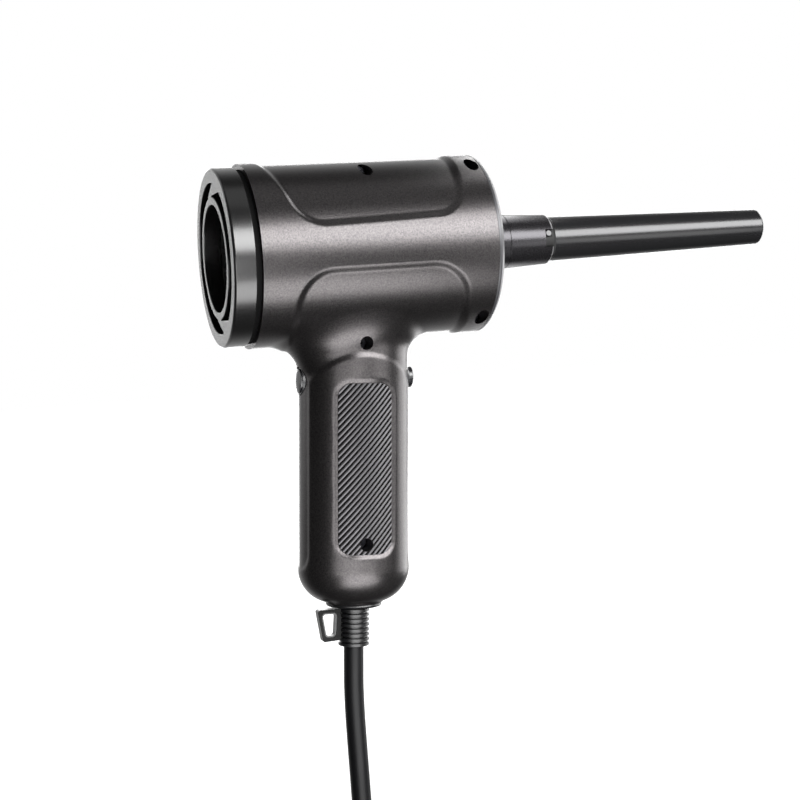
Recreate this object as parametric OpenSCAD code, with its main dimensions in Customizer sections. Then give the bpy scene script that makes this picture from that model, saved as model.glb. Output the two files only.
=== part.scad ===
// Hand-held corded blower for drying cars.
// The origin is the middle of the grip. +X points to the nozzle, +Z is up, and -Y is the right-hand side.

/* [Barrel] */
// Diameter of the barrel
barrel_d = 81; // [78:0.5:90]
// Length of the barrel behind the handle axis
barrel_rear = 51.2; // [50:0.5:60]
// Length of the barrel in front of the handle axis
barrel_front = 54.5; // [52:0.5:64]
// Wall thickness of the moulded shells
wall = 2.4; // [2:0.1:2.8]
// Depth of the recessed panels on the barrel
panel_depth = 1.2; // [0.6:0.1:1.4]
// Height of the upper panels' lower edge above the barrel axis
panel_top = 9.5; // [6:0.5:12]
// Depth of the lower panels' upper edge below the barrel axis
panel_low = 8.2; // [6:0.2:12]
// Chamfer on the barrel's two ends
barrel_chamfer = 0.6; // [0.2:0.1:1]

/* [Handle] */
// Distance from the middle of the grip to the barrel axis, along the handle
grip_to_barrel = 97; // [94:0.5:104]
// Distance from the middle of the grip to the handle's lower end
grip_to_base = 61.5; // [58:0.5:70]
// Angle by which the handle leans back from square to the barrel
lean = 4.5; // [3.5:0.5:6]
// Width of the handle, front to back
grip_w = 51; // [49:0.5:54]
// Depth of the handle, side to side
grip_d = 42; // [40:0.5:46]
// Radius of the handle's lower corner
base_r = 16; // [13:0.5:18]
// Radius of the blend between handle and barrel
blend_r = 12; // [9:0.5:13]
// Height by which the grip panels stand out
raise = 0.8; // [0.4:0.1:1]
// Width of the front and rear strips that carry the buttons
strip_w = 12; // [11:0.5:14]
// Height of the arch that ends the grip panels, above the middle of the grip
arch_top = 51; // [49:0.5:52]
// Radius of that arch
arch_r = 30; // [27:1:34]
// Height at which the strips end, below the middle of the grip
strip_end = 44; // [40:1:46]

/* [Grip inlay] */
// Width of the ridged inlay
inlay_w = 24.6; // [22:0.2:27]
// Height of the ridged inlay
inlay_h = 75.5; // [70:0.5:77]
// Corner radius of the inlay
inlay_r = 6; // [4:0.5:8]
// Thickness of the inlay
inlay_t = 1.5; // [1.2:0.1:1.7]
// Distance between ridges, measured up the grip
ridge_pitch = 2.75; // [2.4:0.05:4]
// Width of the groove between two ridges
ridge_gap = 0.9; // [0.6:0.1:1.2]
// Depth of the grooves between the ridges
ridge_depth = 0.7; // [0.4:0.1:0.9]
// Angle of the ridges above level
ridge_angle = 48; // [40:1:56]

/* [Screws] */
// Diameter of the wells that the screws sit in
well_d = 6; // [5.6:0.1:6.4]
// Distance of the well floors from the split plane
well_floor = 8; // [6:0.5:9]
// Diameter of the screw bosses
boss_d = 8.6; // [8.2:0.1:9]
// Diameter of the shell screws' shanks
screw_d = 2.8; // [2.4:0.1:3]
// Diameter of the shell screws' heads
screw_head_d = 5.2; // [4.8:0.1:5.4]
// Height of the barrel's screws above and below its axis
screw_z = 34; // [33:0.2:34.6]
// Place of the top screw, in front of the handle axis
screw_mid_x = 2.4; // [1:0.2:4]
// Distance of the front screws from the barrel's front end
screw_front = 3.4; // [3:0.1:4]
// Height of the handle's upper screw above the middle of the grip
screw_top = 55.4; // [54:0.2:56]
// Depth of the handle's lower screw below the middle of the grip
screw_low = 33.3; // [32:0.1:34]

/* [Intake] */
// Diameter of the intake cover
cover_d = 78.4; // [77:0.2:78.8]
// Length of the cover that stands out behind the groove
cover_len = 9.5; // [8:0.1:12]
// Width of the groove between cover and barrel
groove_w = 2.5; // [1.5:0.1:2.7]
// Diameter of the round opening in the cover's outer ring
cover_open_d = 66; // [63:0.5:67]
// Outer diameter of the cover's inner ring
inner_ring_d = 53.4; // [50:0.2:55]
// Inner diameter of the cover's inner ring
inner_bore_d = 47.2; // [44:0.2:48.5]
// Thickness of the cover's face and webs
cover_face = 3; // [2:0.5:4]
// Height of the webs' straight edges above and below the axis
web_z = 27.2; // [26.8:0.1:28]
// Thickness of the filter
filter_t = 2.6; // [2:0.1:3]

/* [Outlet] */
// Thickness of the front cap's rim
cap_t = 2.9; // [2.4:0.1:3.5]
// Chamfer on the front cap's rim
cap_chamfer = 1.6; // [1:0.1:2]
// Diameter of the outlet neck and of the collar's rear end
neck_d = 25.2; // [24.6:0.1:26]
// Length of the outlet neck in front of the cap
neck_len = 14.6; // [12:0.1:18]
// Diameter of the collar's front end
collar_front_d = 23.2; // [22.8:0.1:24]
// Length of the collar
collar_len = 22.2; // [20:0.1:26]
// Diameter of the socket inside the collar
socket_d = 20.4; // [20:0.1:20.8]
// Depth of the bayonet notch along the collar
notch_len = 4.5; // [4.2:0.1:6]
// Half of the bayonet notch's width
notch_half = 4; // [3.8:0.1:4.4]

/* [Nozzle] */
// Distance from the handle axis to the nozzle's tip
tip_x = 208; // [180:1:230]
// Diameter of the tube where it leaves the collar
tube_d = 20.8; // [20.6:0.1:21.6]
// Outer diameter of the tube at its tip
tip_d = 17; // [16.4:0.1:18]
// Diameter of the bore at the tip
tip_bore_d = 13.8; // [13:0.1:14.4]
// Length of the straight bore at the tip
tip_bore_len = 10; // [8:1:16]
// Diameter of the bore through the nozzle's plug
throat_d = 15.2; // [14.4:0.1:15.4]
// Length of the nozzle's plug inside the collar
plug_len = 15.8; // [14:0.1:16]
// Section diameter of the O-ring
ring_section = 1.3; // [1.1:0.1:1.4]
// Diameter of the locking lug
lug_d = 2.8; // [2.6:0.1:3]
// Angle of the lug above the side
lug_angle = 11.2; // [10:0.2:12]

/* [Buttons] */
// Diameter of the rear button
rear_button_d = 10.8; // [10:0.1:11]
// Height of the rear button above the middle of the grip
rear_button_z = 38.5; // [37:0.5:40]
// How far the rear button's dome stands out from the strip
rear_button_out = 1.9; // [1.7:0.1:2.4]
// Diameter of the front button
front_button_d = 9.6; // [9:0.1:10.4]
// Height of the front button above the middle of the grip
front_button_z = 40.2; // [39:0.2:41]
// How far the front button's dome stands out from the strip
front_button_out = 3.1; // [2.2:0.1:3.4]
// Travel of the buttons
button_travel = 1.2; // [0.8:0.1:1.2]
// Width of the rings round the buttons
button_ring_w = 1; // [0.9:0.1:1.2]

/* [Fan] */
// Diameter of the impeller
impeller_d = 64; // [58:1:66]
// Height of the impeller's blades
blade_h = 14; // [11:0.5:15]
// Number of impeller blades
blades = 11; // [9:1:13]
// Number of diffuser vanes
vanes = 13; // [11:1:17]
// Diameter of the shaft
shaft_d = 5; // [4:0.5:5]
// Diameter of the bearings
bearing_d = 16; // [14:1:16]
// Width of the bearings
bearing_w = 5; // [4:0.5:5]

/* [Motor] */
// Diameter of the motor
motor_d = 46; // [42:1:46]
// Length of the motor's can
motor_len = 46; // [44:1:48]
// Diameter of the rotor magnet
magnet_d = 20; // [18:1:21]
// Length of the stator core
stator_len = 22; // [18:1:22]

/* [Cord] */
// Diameter of the cord
cord_d = 9; // [7:0.5:9]
// Diameter of the strain relief's ribs
relief_d = 14; // [13.4:0.2:15]
// Length of the ribbed strain relief
relief_len = 17.7; // [16:0.1:20]
// Diameter of the strain relief's flange
relief_flange_d = 25.4; // [24:0.2:27]
// Thickness of the strain relief's flange
relief_flange_t = 2.1; // [1.6:0.1:2.6]
// Number of ribs on the strain relief
relief_ribs = 8; // [6:1:9]
// Radius of the coil's outermost turn
coil_r = 60.3; // [60.3:0.1:62]
// Number of turns in the coil
coil_turns = 9.25; // [9.25]

/* [Hidden] */

// Clearances
fit_gap = 0.1;     // between a seated round piece and its seat
run_gap = 0.05;    // round a turning shaft
body_gap = 0.3;    // between pieces that move apart
eps = 0.02;        // overlap that makes a cut clean

// Facets of round pieces
fine = 96;
medium = 48;
$fn = fine;

// Barrel frame: the handle axis crosses the barrel axis here
barrel_x = grip_to_barrel * sin(lean);
barrel_z = grip_to_barrel * cos(lean);
barrel_r = barrel_d / 2;
bore_r = barrel_r - wall;
recess_r = barrel_r - panel_depth;

// Handle: the strips and the top lie at the base level, the grip panels stand above it
half_w = grip_w / 2;
half_d = grip_d / 2;
base_w = half_w - raise;
base_d = half_d - raise;
hollow_w = base_w - wall;
hollow_d = base_d - wall;

// Stack of pieces along the barrel, from the rear
rib_w = 1.3;
rib_h = 1.8;
cover_back = -barrel_rear - groove_w - cover_len;
neck_in = 4.2;
cover_wall = 2;
spigot_r = bore_r - fit_gap;
cover_in_r = min(cover_d / 2, spigot_r) - cover_wall;
filter_x = cover_back + cover_len - 1.6;
guard_t = 2;
guard_x = -barrel_rear + neck_in + body_gap + rib_w + 0.2;
shroud_x = guard_x + guard_t;
shroud_plate = 2;
impeller_gap = 1;
impeller_x = shroud_x + shroud_plate + impeller_gap;
backplate_t = 1.5;
diffuser_x = impeller_x + blade_h + backplate_t + impeller_gap;
diffuser_len = 14;
diffuser_hub_t = 2;
diffuser_end = diffuser_x + diffuser_len;
motor_r = motor_d / 2;
motor_x = diffuser_x + diffuser_hub_t + fit_gap;
motor_wall = 1.6;
motor_front = motor_x + motor_len;
stator_x = motor_x + 10;
front_bearing_x = motor_front - motor_wall - bearing_w;
mount_x = motor_front - 10;
mount_w = 5;
shaft_rear = impeller_x - 1.5;
shaft_front = motor_front - motor_wall;

// Outlet
cap_x = barrel_front;
neck_x = cap_x + cap_t;
collar_x = neck_x + neck_len;
collar_end = collar_x + collar_len;
socket_r = socket_d / 2;
tenon_len = collar_len - plug_len - body_gap;
plug_x = collar_end - plug_len;
seal_x = plug_x + 4;
lug_x = collar_end - notch_len + 0.2 + lug_d / 2;
funnel_r = 27;
funnel_x = cap_x - 9;

// Buttons: the bore in the shells, the guide ring and the cap behind it
ring_flange = 1;
ring_lip = 0.4;

// Handle electronics
board_y = 3;
board_t = 1.6;
board_w = 24;
board_low = -26;
board_high = 46;
post_z = [board_low + 11.4, board_high - 14];
post_r = 3;
board_screw_d = 2;
board_screw_len = 7;
capacitor_r = 8;
capacitor_len = 22;
block_w = 20;
block_h = 8;
switch_in = 11.5;
switch_len = 5.7;
switch_w = 6.8;
plunger_d = 4;

// Strain relief and cord
relief_end = -grip_to_base - relief_flange_t - relief_len;
relief_neck_r = relief_d / 2 + 0.8;
relief_collar_r = relief_neck_r + 2;
tail_top = -46;
coil_drop = 9.6;
coil_z = -200;
coil_centre = [coil_r - 8.3, -50];
coil_step = 9.7;
exit = [relief_end * sin(lean), 0, relief_end * cos(lean)];
exit_run = [(relief_end - cord_d) * sin(lean), 0, (relief_end - cord_d) * cos(lean)];
cord_route = [
    exit, exit_run,
    [-7.8, 0, -100], [-8.2, 0, -112], [-8.3, 0, -125], [-8.3, 0, -140], [-8.3, 0, -155],
    [-8.3, -1.4, -170], [-8.3, -7, -182], [-8.3, -16, -191], [-8.3, -28, -197.5],
    [-8.3, -40, -200], [-8.3, -50, -200]
];
plug_axis_z = coil_z - 3 * coil_drop + 4;
plug_start = [106, coil_centre[1] - coil_r, plug_axis_z];
boot_len = 30;
plug_len_body = 36;
plug_w = 25;
plug_h = 17;
pin_d = 4.8;
pin_len = 19;
pin_spread = 19;

// ---------- frames and outlines ----------

// Moves what is drawn about the barrel's own centre to its place
module on_barrel() translate([barrel_x, 0, barrel_z]) children();

// Turns what is drawn upright about the grip to the handle's lean
module on_handle() rotate([0, lean, 0]) children();

// Turns a shape made about Z so that its Z runs along X
module along_x() rotate([0, 90, 0]) children();

// A tube about the X axis from x0 to x1
module tube_x(x0, x1, r_out, r_in = 0, faces = fine)
    translate([x0, 0, 0]) along_x() difference() {
        cylinder(h = x1 - x0, r = r_out, $fn = faces);
        if (r_in > 0)
            translate([0, 0, -1]) cylinder(h = x1 - x0 + 2, r = r_in, $fn = faces);
    }

// A flat outline in X and Z, carried across from y0 to y1
module across(y0, y1)
    translate([0, y1, 0]) rotate([90, 0, 0]) linear_extrude(y1 - y0) children();

// A flat outline in Y and Z, carried forward from x0 to x1
module forward(x0, x1)
    translate([x0, 0, 0]) rotate([90, 0, 90]) linear_extrude(x1 - x0) children();

// A round bar across the barrel or handle at x and z
module bar_y(x, z, y0, y1, r, faces = medium)
    translate([x, y1, z]) rotate([90, 0, 0]) cylinder(h = y1 - y0, r = r, $fn = faces);

// A rectangle with round corners, centred
module rounded(w, h, r) {
    square([w - 2 * r, h], center = true);
    square([w, h - 2 * r], center = true);
    for (sx = [-1, 1], sy = [-1, 1])
        translate([sx * (w / 2 - r), sy * (h / 2 - r)]) circle(r = r, $fn = medium);
}

// ---------- tube along a route ----------

function unit(v) = v / norm(v);
function heading(p, i) =
    unit(p[min(i + 1, len(p) - 1)] - p[max(i - 1, 0)]);
function ring_points(p, i, r, sides, side_of) =
    let (t = heading(p, i), u = unit(cross(t, side_of)), v = cross(u, t))
    [for (k = [0 : sides - 1]) p[i] + r * (cos(360 * k / sides) * u + sin(360 * k / sides) * v)];
function tube_faces(rings, sides) = concat(
    [[for (k = [sides - 1 : -1 : 0]) k]],
    [for (i = [0 : rings - 2], k = [0 : sides - 1])
        [i * sides + k, i * sides + (k + 1) % sides, (i + 1) * sides + k]],
    [for (i = [0 : rings - 2], k = [0 : sides - 1])
        [(i + 1) * sides + k, i * sides + (k + 1) % sides, (i + 1) * sides + (k + 1) % sides]],
    [[for (k = [0 : sides - 1]) (rings - 1) * sides + k]]);
module tube_along(p, r, sides, side_of)
    polyhedron(
        points = [for (i = [0 : len(p) - 1]) each ring_points(p, i, r, sides, side_of)],
        faces = tube_faces(len(p), sides), convexity = 10);

// ---------- body form ----------

// Upper panel of the barrel, in X and Z
module upper_panel() {
    front = barrel_front - 15;
    corner = 10;
    difference() {
        polygon([[-44, barrel_r + 2], [-33.6, panel_top], [front, panel_top + 1.6], [front, barrel_r + 2]]);
        translate([front - corner, panel_top + 1.6 - 2])
            square([corner + 1, corner + 2]);
    }
    intersection() {
        translate([front - corner, panel_top + 1.3 + corner]) circle(r = corner);
        translate([front - corner - 1, panel_top]) square([corner + 2, corner + 3]);
    }
}

// Lower panel of the barrel, in X and Z
module lower_panel() {
    rear = -41;
    front = barrel_front - 14.5;
    corner = 13;
    deep = barrel_r + 2;
    translate([rear, -deep]) square([front - rear, deep - panel_low - corner]);
    translate([rear + corner, -panel_low - corner - 1])
        square([front - rear - 2 * corner, corner + 1]);
    for (x = [rear + corner, front - corner])
        translate([x, -panel_low - corner]) circle(r = corner);
}

// The barrel with its recessed panels
module barrel_form() {
    difference() {
        translate([-barrel_rear, 0, 0]) along_x() rotate_extrude() polygon([
            [0, 0], [barrel_r - barrel_chamfer, 0], [barrel_r, barrel_chamfer],
            [barrel_r, barrel_rear + barrel_front - barrel_chamfer],
            [barrel_r - barrel_chamfer, barrel_rear + barrel_front],
            [0, barrel_rear + barrel_front]]);
        intersection() {
            tube_x(-barrel_rear - 1, barrel_front + 1, barrel_r + 1, recess_r);
            across(-barrel_r - 2, barrel_r + 2) {
                upper_panel();
                lower_panel();
            }
        }
    }
}

// An upright bar of the handle's oval section, with its round lower end
module oval_bar(w, d, low, high, corner)
    scale([1, d / w, 1]) translate([0, 0, low]) rotate_extrude() {
        translate([0, corner]) square([w, high - low - corner]);
        square([w - corner, corner + eps]);
        intersection() {
            translate([w - corner, corner]) circle(r = corner);
            square([w, corner + eps]);
        }
    }

// The grip panels, bounded by the arch and by the strips
module grip_panels() {
    high = grip_to_barrel - barrel_r;
    difference() {
        oval_bar(half_w, half_d, -grip_to_base, arch_top, base_r);
        across(-half_d - 1, half_d + 1) difference() {
            translate([-half_w - 1, arch_top - arch_r]) square([grip_w + 2, arch_r + 2]);
            translate([0, arch_top - arch_r]) circle(r = arch_r);
        }
        for (side = [-1, 1])
            forward(side < 0 ? -half_w - 1 : half_w - 4, side < 0 ? 4 - half_w : half_w + 1) {
                translate([-strip_w / 2, -strip_end + strip_w / 2])
                    square([strip_w, high + strip_end]);
                translate([0, -strip_end + strip_w / 2]) circle(r = strip_w / 2);
            }
    }
}

// Rolling-ball blend between the handle's oval and the barrel: one section for each direction round
// the handle. Each section holds the arc and three points sunk into the walls behind it.
blend_sections = 48;
blend_arc = 6;
blend_sink = 1.2;
function oval_at(t, w, d) = [w * cos(t), d * sin(t), 0];
function oval_normal(t, w, d) = unit([d * cos(t), w * sin(t), 0]);
function to_barrel(v) = [v[0] * cos(lean) + v[2] * sin(lean), v[1], -v[0] * sin(lean) + v[2] * cos(lean)];
// Height along the handle, from the crossing of the axes, at which a point over x and y is r from the barrel axis
function drop_to(x, y, r) = (x * sin(lean) - sqrt(r * r - y * y)) / cos(lean);
function turned(a, b, s) =
    let (w = acos(a * b)) (sin((1 - s) * w) * a + sin(s * w) * b) / sin(w);
function blend_section(t, w, d) =
    let (
        n = oval_normal(t, w, d),
        e = oval_at(t, w, d),
        flat = e + blend_r * n,
        s = drop_to(flat[0], flat[1], recess_r + blend_r),
        c = to_barrel([flat[0], flat[1], s]),
        up = -[0, c[1], c[2]] / (recess_r + blend_r),
        inward = -to_barrel(n),
        sunk = e - blend_sink * n
    )
    concat(
        [to_barrel([sunk[0], sunk[1], s])],
        [for (k = [0 : blend_arc]) c + blend_r * turned(inward, up, k / blend_arc)
            + 0.06 * (k == 0 ? inward : k == blend_arc ? up : [0, 0, 0])],
        [c + (blend_r + blend_sink) * up],
        [to_barrel([sunk[0], sunk[1], drop_to(sunk[0], sunk[1], recess_r - blend_sink)])]
    );
module blend() {
    n = blend_sections;
    m = blend_arc + 4;
    polyhedron(
        points = [for (i = [0 : n - 1]) each blend_section(360 * i / n, base_w, base_d)],
        faces = [for (i = [0 : n - 1], k = [0 : m - 1], h = [0, 1])
            let (a = i * m + k, b = i * m + (k + 1) % m,
                 c = ((i + 1) % n) * m + k, e = ((i + 1) % n) * m + (k + 1) % m)
            h == 0 ? [a, b, c] : [b, e, c]],
        convexity = 10);
}

// Outer form of both shells together
module body_form() {
    on_barrel() barrel_form();
    on_handle() {
        oval_bar(base_w, base_d, -grip_to_base, grip_to_barrel - bore_r, base_r);
        grip_panels();
    }
    on_barrel() blend();
}

// Hollow inside both shells
module body_hollow() {
    on_barrel() {
        difference() {
            tube_x(-barrel_rear - 1, barrel_front + 1, bore_r);
            // ribs that locate the fan and the motor mount
            for (x = [guard_x - 0.2 - rib_w, diffuser_end + 0.2, mount_x - rib_w - 0.2, mount_x + mount_w + 0.2])
                tube_x(x, x + rib_w, bore_r + 1, bore_r - rib_h);
        }
    }
    on_handle() oval_bar(hollow_w, hollow_d, -grip_to_base + wall, grip_to_barrel - bore_r + 6, base_r - wall);
}

// Places of the shell screws: [frame, x, z]
screw_places = [
    ["barrel", screw_mid_x, screw_z],
    ["barrel", barrel_front - screw_front, screw_z],
    ["barrel", barrel_front - screw_front, -screw_z],
    ["handle", 0, screw_top],
    ["handle", 0, -screw_low]
];
module at_screws()
    for (s = screw_places)
        if (s[0] == "barrel")
            on_barrel() translate([s[1], 0, s[2]]) children();
        else
            on_handle() translate([s[1], 0, s[2]]) children();

tab_t = 2;
front_boss_start = tab_t / 2 + fit_gap;

// Solid bosses between y0 and y1, cut to the outer form
module bosses(y0, y1)
    intersection() {
        body_form_simple();
        at_screws() bar_y(0, 0, y0, y1, boss_d / 2);
    }

// Outer form without panels and blend, to trim what lies inside
module body_form_simple() {
    on_barrel() tube_x(-barrel_rear, barrel_front, bore_r + wall / 2);
    on_handle() oval_bar(base_w - wall / 2, base_d - wall / 2, -grip_to_base + wall / 2, grip_to_barrel - bore_r, base_r - wall / 2);
}

// Round passages for the buttons, and the one for the strain relief
module shell_passages() {
    on_handle() {
        translate([0, 0, rear_button_z])
            tube_x(-half_w - 1, -hollow_w + 6, rear_button_d / 2 + button_ring_w + fit_gap);
        translate([0, 0, front_button_z])
            tube_x(hollow_w - 6, half_w + 1, front_button_d / 2 + button_ring_w + fit_gap);
        translate([0, 0, -grip_to_base - 1])
            cylinder(h = wall + 2, r = relief_neck_r + 0.2);
    }
}

// Pocket that the ridged inlay sits in, on the side given by its sign
module inlay_pocket(side)
    on_handle() intersection() {
        difference() {
            oval_bar(half_w + 1, half_d + 1, -grip_to_base, arch_top, base_r);
            oval_bar(half_w - inlay_t, half_d - inlay_t, -grip_to_base + inlay_t, arch_top + 1, base_r - inlay_t);
        }
        across(side < 0 ? -half_d - 2 : 0, side < 0 ? 0 : half_d + 2)
            rounded(inlay_w + 2 * fit_gap, inlay_h + 2 * fit_gap, inlay_r + fit_gap);
    }

// Half space on one side of the split plane
module half_space(side)
    translate([-200, side < 0 ? -100 : 0, -200]) cube([400, 100, 400]);

// Gap that lets the cap's tab pass between the two front bosses
module tab_slots()
    for (z = [-screw_z, screw_z])
        on_barrel() translate([barrel_front - screw_front, 0, z])
            translate([-boss_d, -tab_t / 2 - fit_gap, -boss_d])
                cube([2 * boss_d, tab_t + 2 * fit_gap, 2 * boss_d]);

module right_shell()
    color("#4b4a4e") difference() {
        union() {
            difference() {
                intersection() {
                    body_form();
                    half_space(-1);
                }
                body_hollow();
                inlay_pocket(-1);
            }
            bosses(-barrel_r, 0);
        }
        at_screws() {
            bar_y(0, 0, -barrel_r - 5, -well_floor, well_d / 2);
            bar_y(0, 0, -barrel_r, 1, screw_d / 2 + 0.2);
        }
        intersection() {
            on_barrel() tube_x(-barrel_rear, barrel_front + 1, bore_r);
            tab_slots();
        }
        shell_passages();
    }

// Posts on the left shell that carry the control board
module board_posts()
    on_handle() for (z = post_z)
        bar_y(0, z, board_y + board_t, half_d, post_r);

module left_shell()
    color("#4b4a4e") difference() {
        union() {
            difference() {
                intersection() {
                    body_form();
                    half_space(1);
                }
                body_hollow();
                inlay_pocket(1);
            }
            bosses(0, barrel_r);
            intersection() {
                body_form_simple();
                board_posts();
            }
        }
        at_screws() bar_y(0, 0, -1, well_floor + 2, screw_d / 2 - 0.2);
        on_handle() for (z = post_z)
            bar_y(0, z, board_y, board_y + board_screw_len + 1, board_screw_d / 2 - 0.2);
        intersection() {
            on_barrel() tube_x(-barrel_rear, barrel_front + 1, bore_r);
            tab_slots();
        }
        shell_passages();
    }

// A pan-head screw across the body: its head's under face is at y = 0 and it points to +Y
module cross_screw(shank_d, shank, head_d, head)
    difference() {
        union() {
            bar_y(0, 0, -head, 0, head_d / 2);
            bar_y(0, 0, -eps, shank, shank_d / 2 - 0.25);
        }
        bar_y(0, 0, -head - 1, -head + 1, head_d / 5, 6);
    }

module shell_screws()
    color("#26262a") at_screws() translate([0, -well_floor, 0])
        cross_screw(screw_d, 2 * well_floor, screw_head_d, 2.2);

// The oval skin between two depths under the grip panel's surface
module grip_skin(top, bottom)
    difference() {
        oval_bar(half_w - top, half_d - top, -grip_to_base + top, arch_top, base_r - top);
        oval_bar(half_w - bottom, half_d - bottom, -grip_to_base + bottom, arch_top + 1, base_r - bottom);
    }

// Ridged inlay on the side given by its sign. Its grooves rise to the front on both sides.
module grip_inlay(side) {
    rise = inlay_w * tan(ridge_angle);
    count = floor((inlay_h + rise) / ridge_pitch);
    on_handle() difference() {
        intersection() {
            grip_skin(0.2, inlay_t - fit_gap);
            across(side < 0 ? -half_d - 2 : 0, side < 0 ? 0 : half_d + 2)
                rounded(inlay_w, inlay_h, inlay_r);
        }
        intersection() {
            grip_skin(0, 0.2 + ridge_depth);
            across(side < 0 ? -half_d - 2 : half_d / 2, side < 0 ? -half_d / 2 : half_d + 2)
                for (i = [1 : count])
                    translate([0, -(inlay_h + rise) / 2 + (i - 0.5) * ridge_pitch])
                        rotate(ridge_angle) square([2 * inlay_w, ridge_gap], center = true);
        }
        bar_y(0, -screw_low, side < 0 ? -barrel_r : -1, side < 0 ? 1 : -0.5, well_d / 2);
    }
}

module right_grip_inlay() color("#1b1b1d") grip_inlay(-1);
module left_grip_inlay() color("#1b1b1d") grip_inlay(1);

// ---------- buttons ----------

// Guide ring of a button that is pressed towards +X. x = 0 is the handle axis.
module guide_ring(d) {
    tube_x(-base_w - ring_lip, -hollow_w + 0.4, d / 2 + button_ring_w, d / 2 + fit_gap);
    tube_x(-hollow_w + 0.4 - eps, -hollow_w + 0.4 + ring_flange, d / 2 + button_ring_w, d / 2 + fit_gap);
}

// Cap of such a button, with its flange and the stem that enters the switch
module button_cap(d, out) {
    dome = 0.8;
    dome_r = (d * d / 4 + dome * dome) / (2 * dome);
    top = -base_w - out;
    flange_x = -hollow_w + 0.4 + ring_flange + 0.2;
    intersection() {
        tube_x(top, flange_x + 0.1, d / 2);
        translate([top + dome_r, 0, 0]) sphere(r = dome_r);
    }
    tube_x(-base_w, flange_x + 0.1, d / 2);
    tube_x(flange_x, flange_x + 0.8, d / 2 + 0.7);
    tube_x(flange_x + 0.7, -switch_in - switch_len + 1.2, plunger_d / 2);
}

// Push switch with the bore that takes the stem
module tact_switch()
    difference() {
        translate([-switch_in - switch_len, board_y - switch_w, -switch_w / 2])
            cube([switch_len, switch_w, switch_w]);
        tube_x(-switch_in - switch_len - 1, -switch_in - switch_len + 1.2 + button_travel + 0.4, plunger_d / 2 + 0.2);
    }

module at_rear_button() on_handle() translate([0, 0, rear_button_z]) children();
module at_front_button() on_handle() translate([0, 0, front_button_z]) mirror([1, 0, 0]) children();

module rear_button_ring() color("#202023") at_rear_button() guide_ring(rear_button_d);
module front_button_ring() color("#202023") at_front_button() guide_ring(front_button_d);
module speed_button() color("#3a3a3d") at_rear_button() button_cap(rear_button_d, rear_button_out);
module power_button() color("#232326") at_front_button() button_cap(front_button_d, front_button_out);
module speed_switch() color("#303030") at_rear_button() tact_switch();
module power_switch() color("#303030") at_front_button() tact_switch();

// ---------- intake ----------

// The two webs that carry the inner ring, in Y and Z
module cover_webs()
    for (s = [-1, 1])
        polygon([[3.5, s * (inner_ring_d / 2 - 0.6)], [3.5, s * web_z], [-6.6, s * 32.3], [-8, s * 36],
            [-30, s * 36], [-30, s * web_z], [-3, s * web_z], [-3, s * (inner_ring_d / 2 - 0.6)]]);

// Openings of the cover's face, in Y and Z
module cover_openings() {
    difference() {
        circle(d = cover_open_d);
        circle(d = inner_ring_d);
        cover_webs();
    }
    circle(d = inner_bore_d);
}

module intake_cover()
    color("#141416") on_barrel() {
        rim_r = cover_d / 2;
        difference() {
            union() {
                translate([cover_back, 0, 0]) along_x() rotate_extrude() polygon([
                    [cover_open_d / 2 - 2, 0], [rim_r - 0.8, 0], [rim_r, 0.8], [rim_r, cover_len],
                    [spigot_r, cover_len], [spigot_r, cover_len + groove_w + neck_in],
                    [cover_in_r, cover_len + groove_w + neck_in], [cover_in_r, cover_face],
                    [cover_open_d / 2 - 2, cover_face]]);
                tube_x(cover_back, cover_back + cover_face, cover_open_d / 2 - 1, inner_ring_d / 2 - 1);
                tube_x(cover_back, filter_x, inner_ring_d / 2, inner_bore_d / 2);
            }
            forward(cover_back - 1, cover_back + cover_face + 1) cover_openings();
        }
    }

module intake_filter()
    color("#0c0c0d") on_barrel() difference() {
        tube_x(filter_x, filter_x + filter_t, cover_in_r - fit_gap);
        for (y = [-3 : 3], z = [-3 : 3])
            if (y * y + z * z < 12)
                forward(cover_back, cover_back + cover_len + filter_t)
                    translate([y * 8.6, z * 8.6]) rounded(7, 7, 1.5);
    }

module finger_guard()
    color("#1c1c1f") on_barrel() {
        tube_x(guard_x, guard_x + guard_t, bore_r - fit_gap, bore_r - 4);
        tube_x(guard_x, guard_x + guard_t, 20, 18);
        tube_x(guard_x, guard_x + guard_t, 6);
        for (a = [0 : 60 : 300])
            rotate([a, 0, 0]) translate([guard_x, -0.9, 4]) cube([guard_t, 1.8, bore_r - 7]);
    }

// ---------- fan ----------

module fan_shroud()
    color("#e4e2da") on_barrel() {
        tube_x(shroud_x, shroud_x + shroud_plate, bore_r - fit_gap, 17);
        tube_x(shroud_x + shroud_plate - eps, diffuser_x, bore_r - fit_gap, bore_r - fit_gap - 1.6);
    }

// Backward-curved blade: a strip between two arcs, cut to the impeller's ring
module blade_outline(r_in, r_out, t) {
    bend = 0.62 * r_out;
    intersection() {
        difference() {
            translate([0, bend]) circle(r = bend + t / 2);
            translate([0, bend]) circle(r = bend - t / 2);
        }
        difference() {
            circle(r = r_out);
            circle(r = r_in);
        }
        translate([0, -5]) square([r_out + 1, r_out + 5]);
    }
}

module impeller()
    color("#c9ccd1") on_barrel() {
        tube_x(impeller_x + blade_h - eps, impeller_x + blade_h + backplate_t, impeller_d / 2, shaft_d / 2 + run_gap);
        tube_x(impeller_x + 2, impeller_x + blade_h, 7, shaft_d / 2 + run_gap);
        for (i = [0 : blades - 1])
            rotate([i * 360 / blades, 0, 0]) forward(impeller_x, impeller_x + blade_h)
                blade_outline(11, impeller_d / 2 - 0.5, 1.2);
    }

module impeller_nut()
    color("silver") on_barrel() difference() {
        tube_x(impeller_x, impeller_x + 2, 4.2, 0, 6);
        tube_x(impeller_x - 1, impeller_x + 3, shaft_d / 2 + run_gap);
    }

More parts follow.
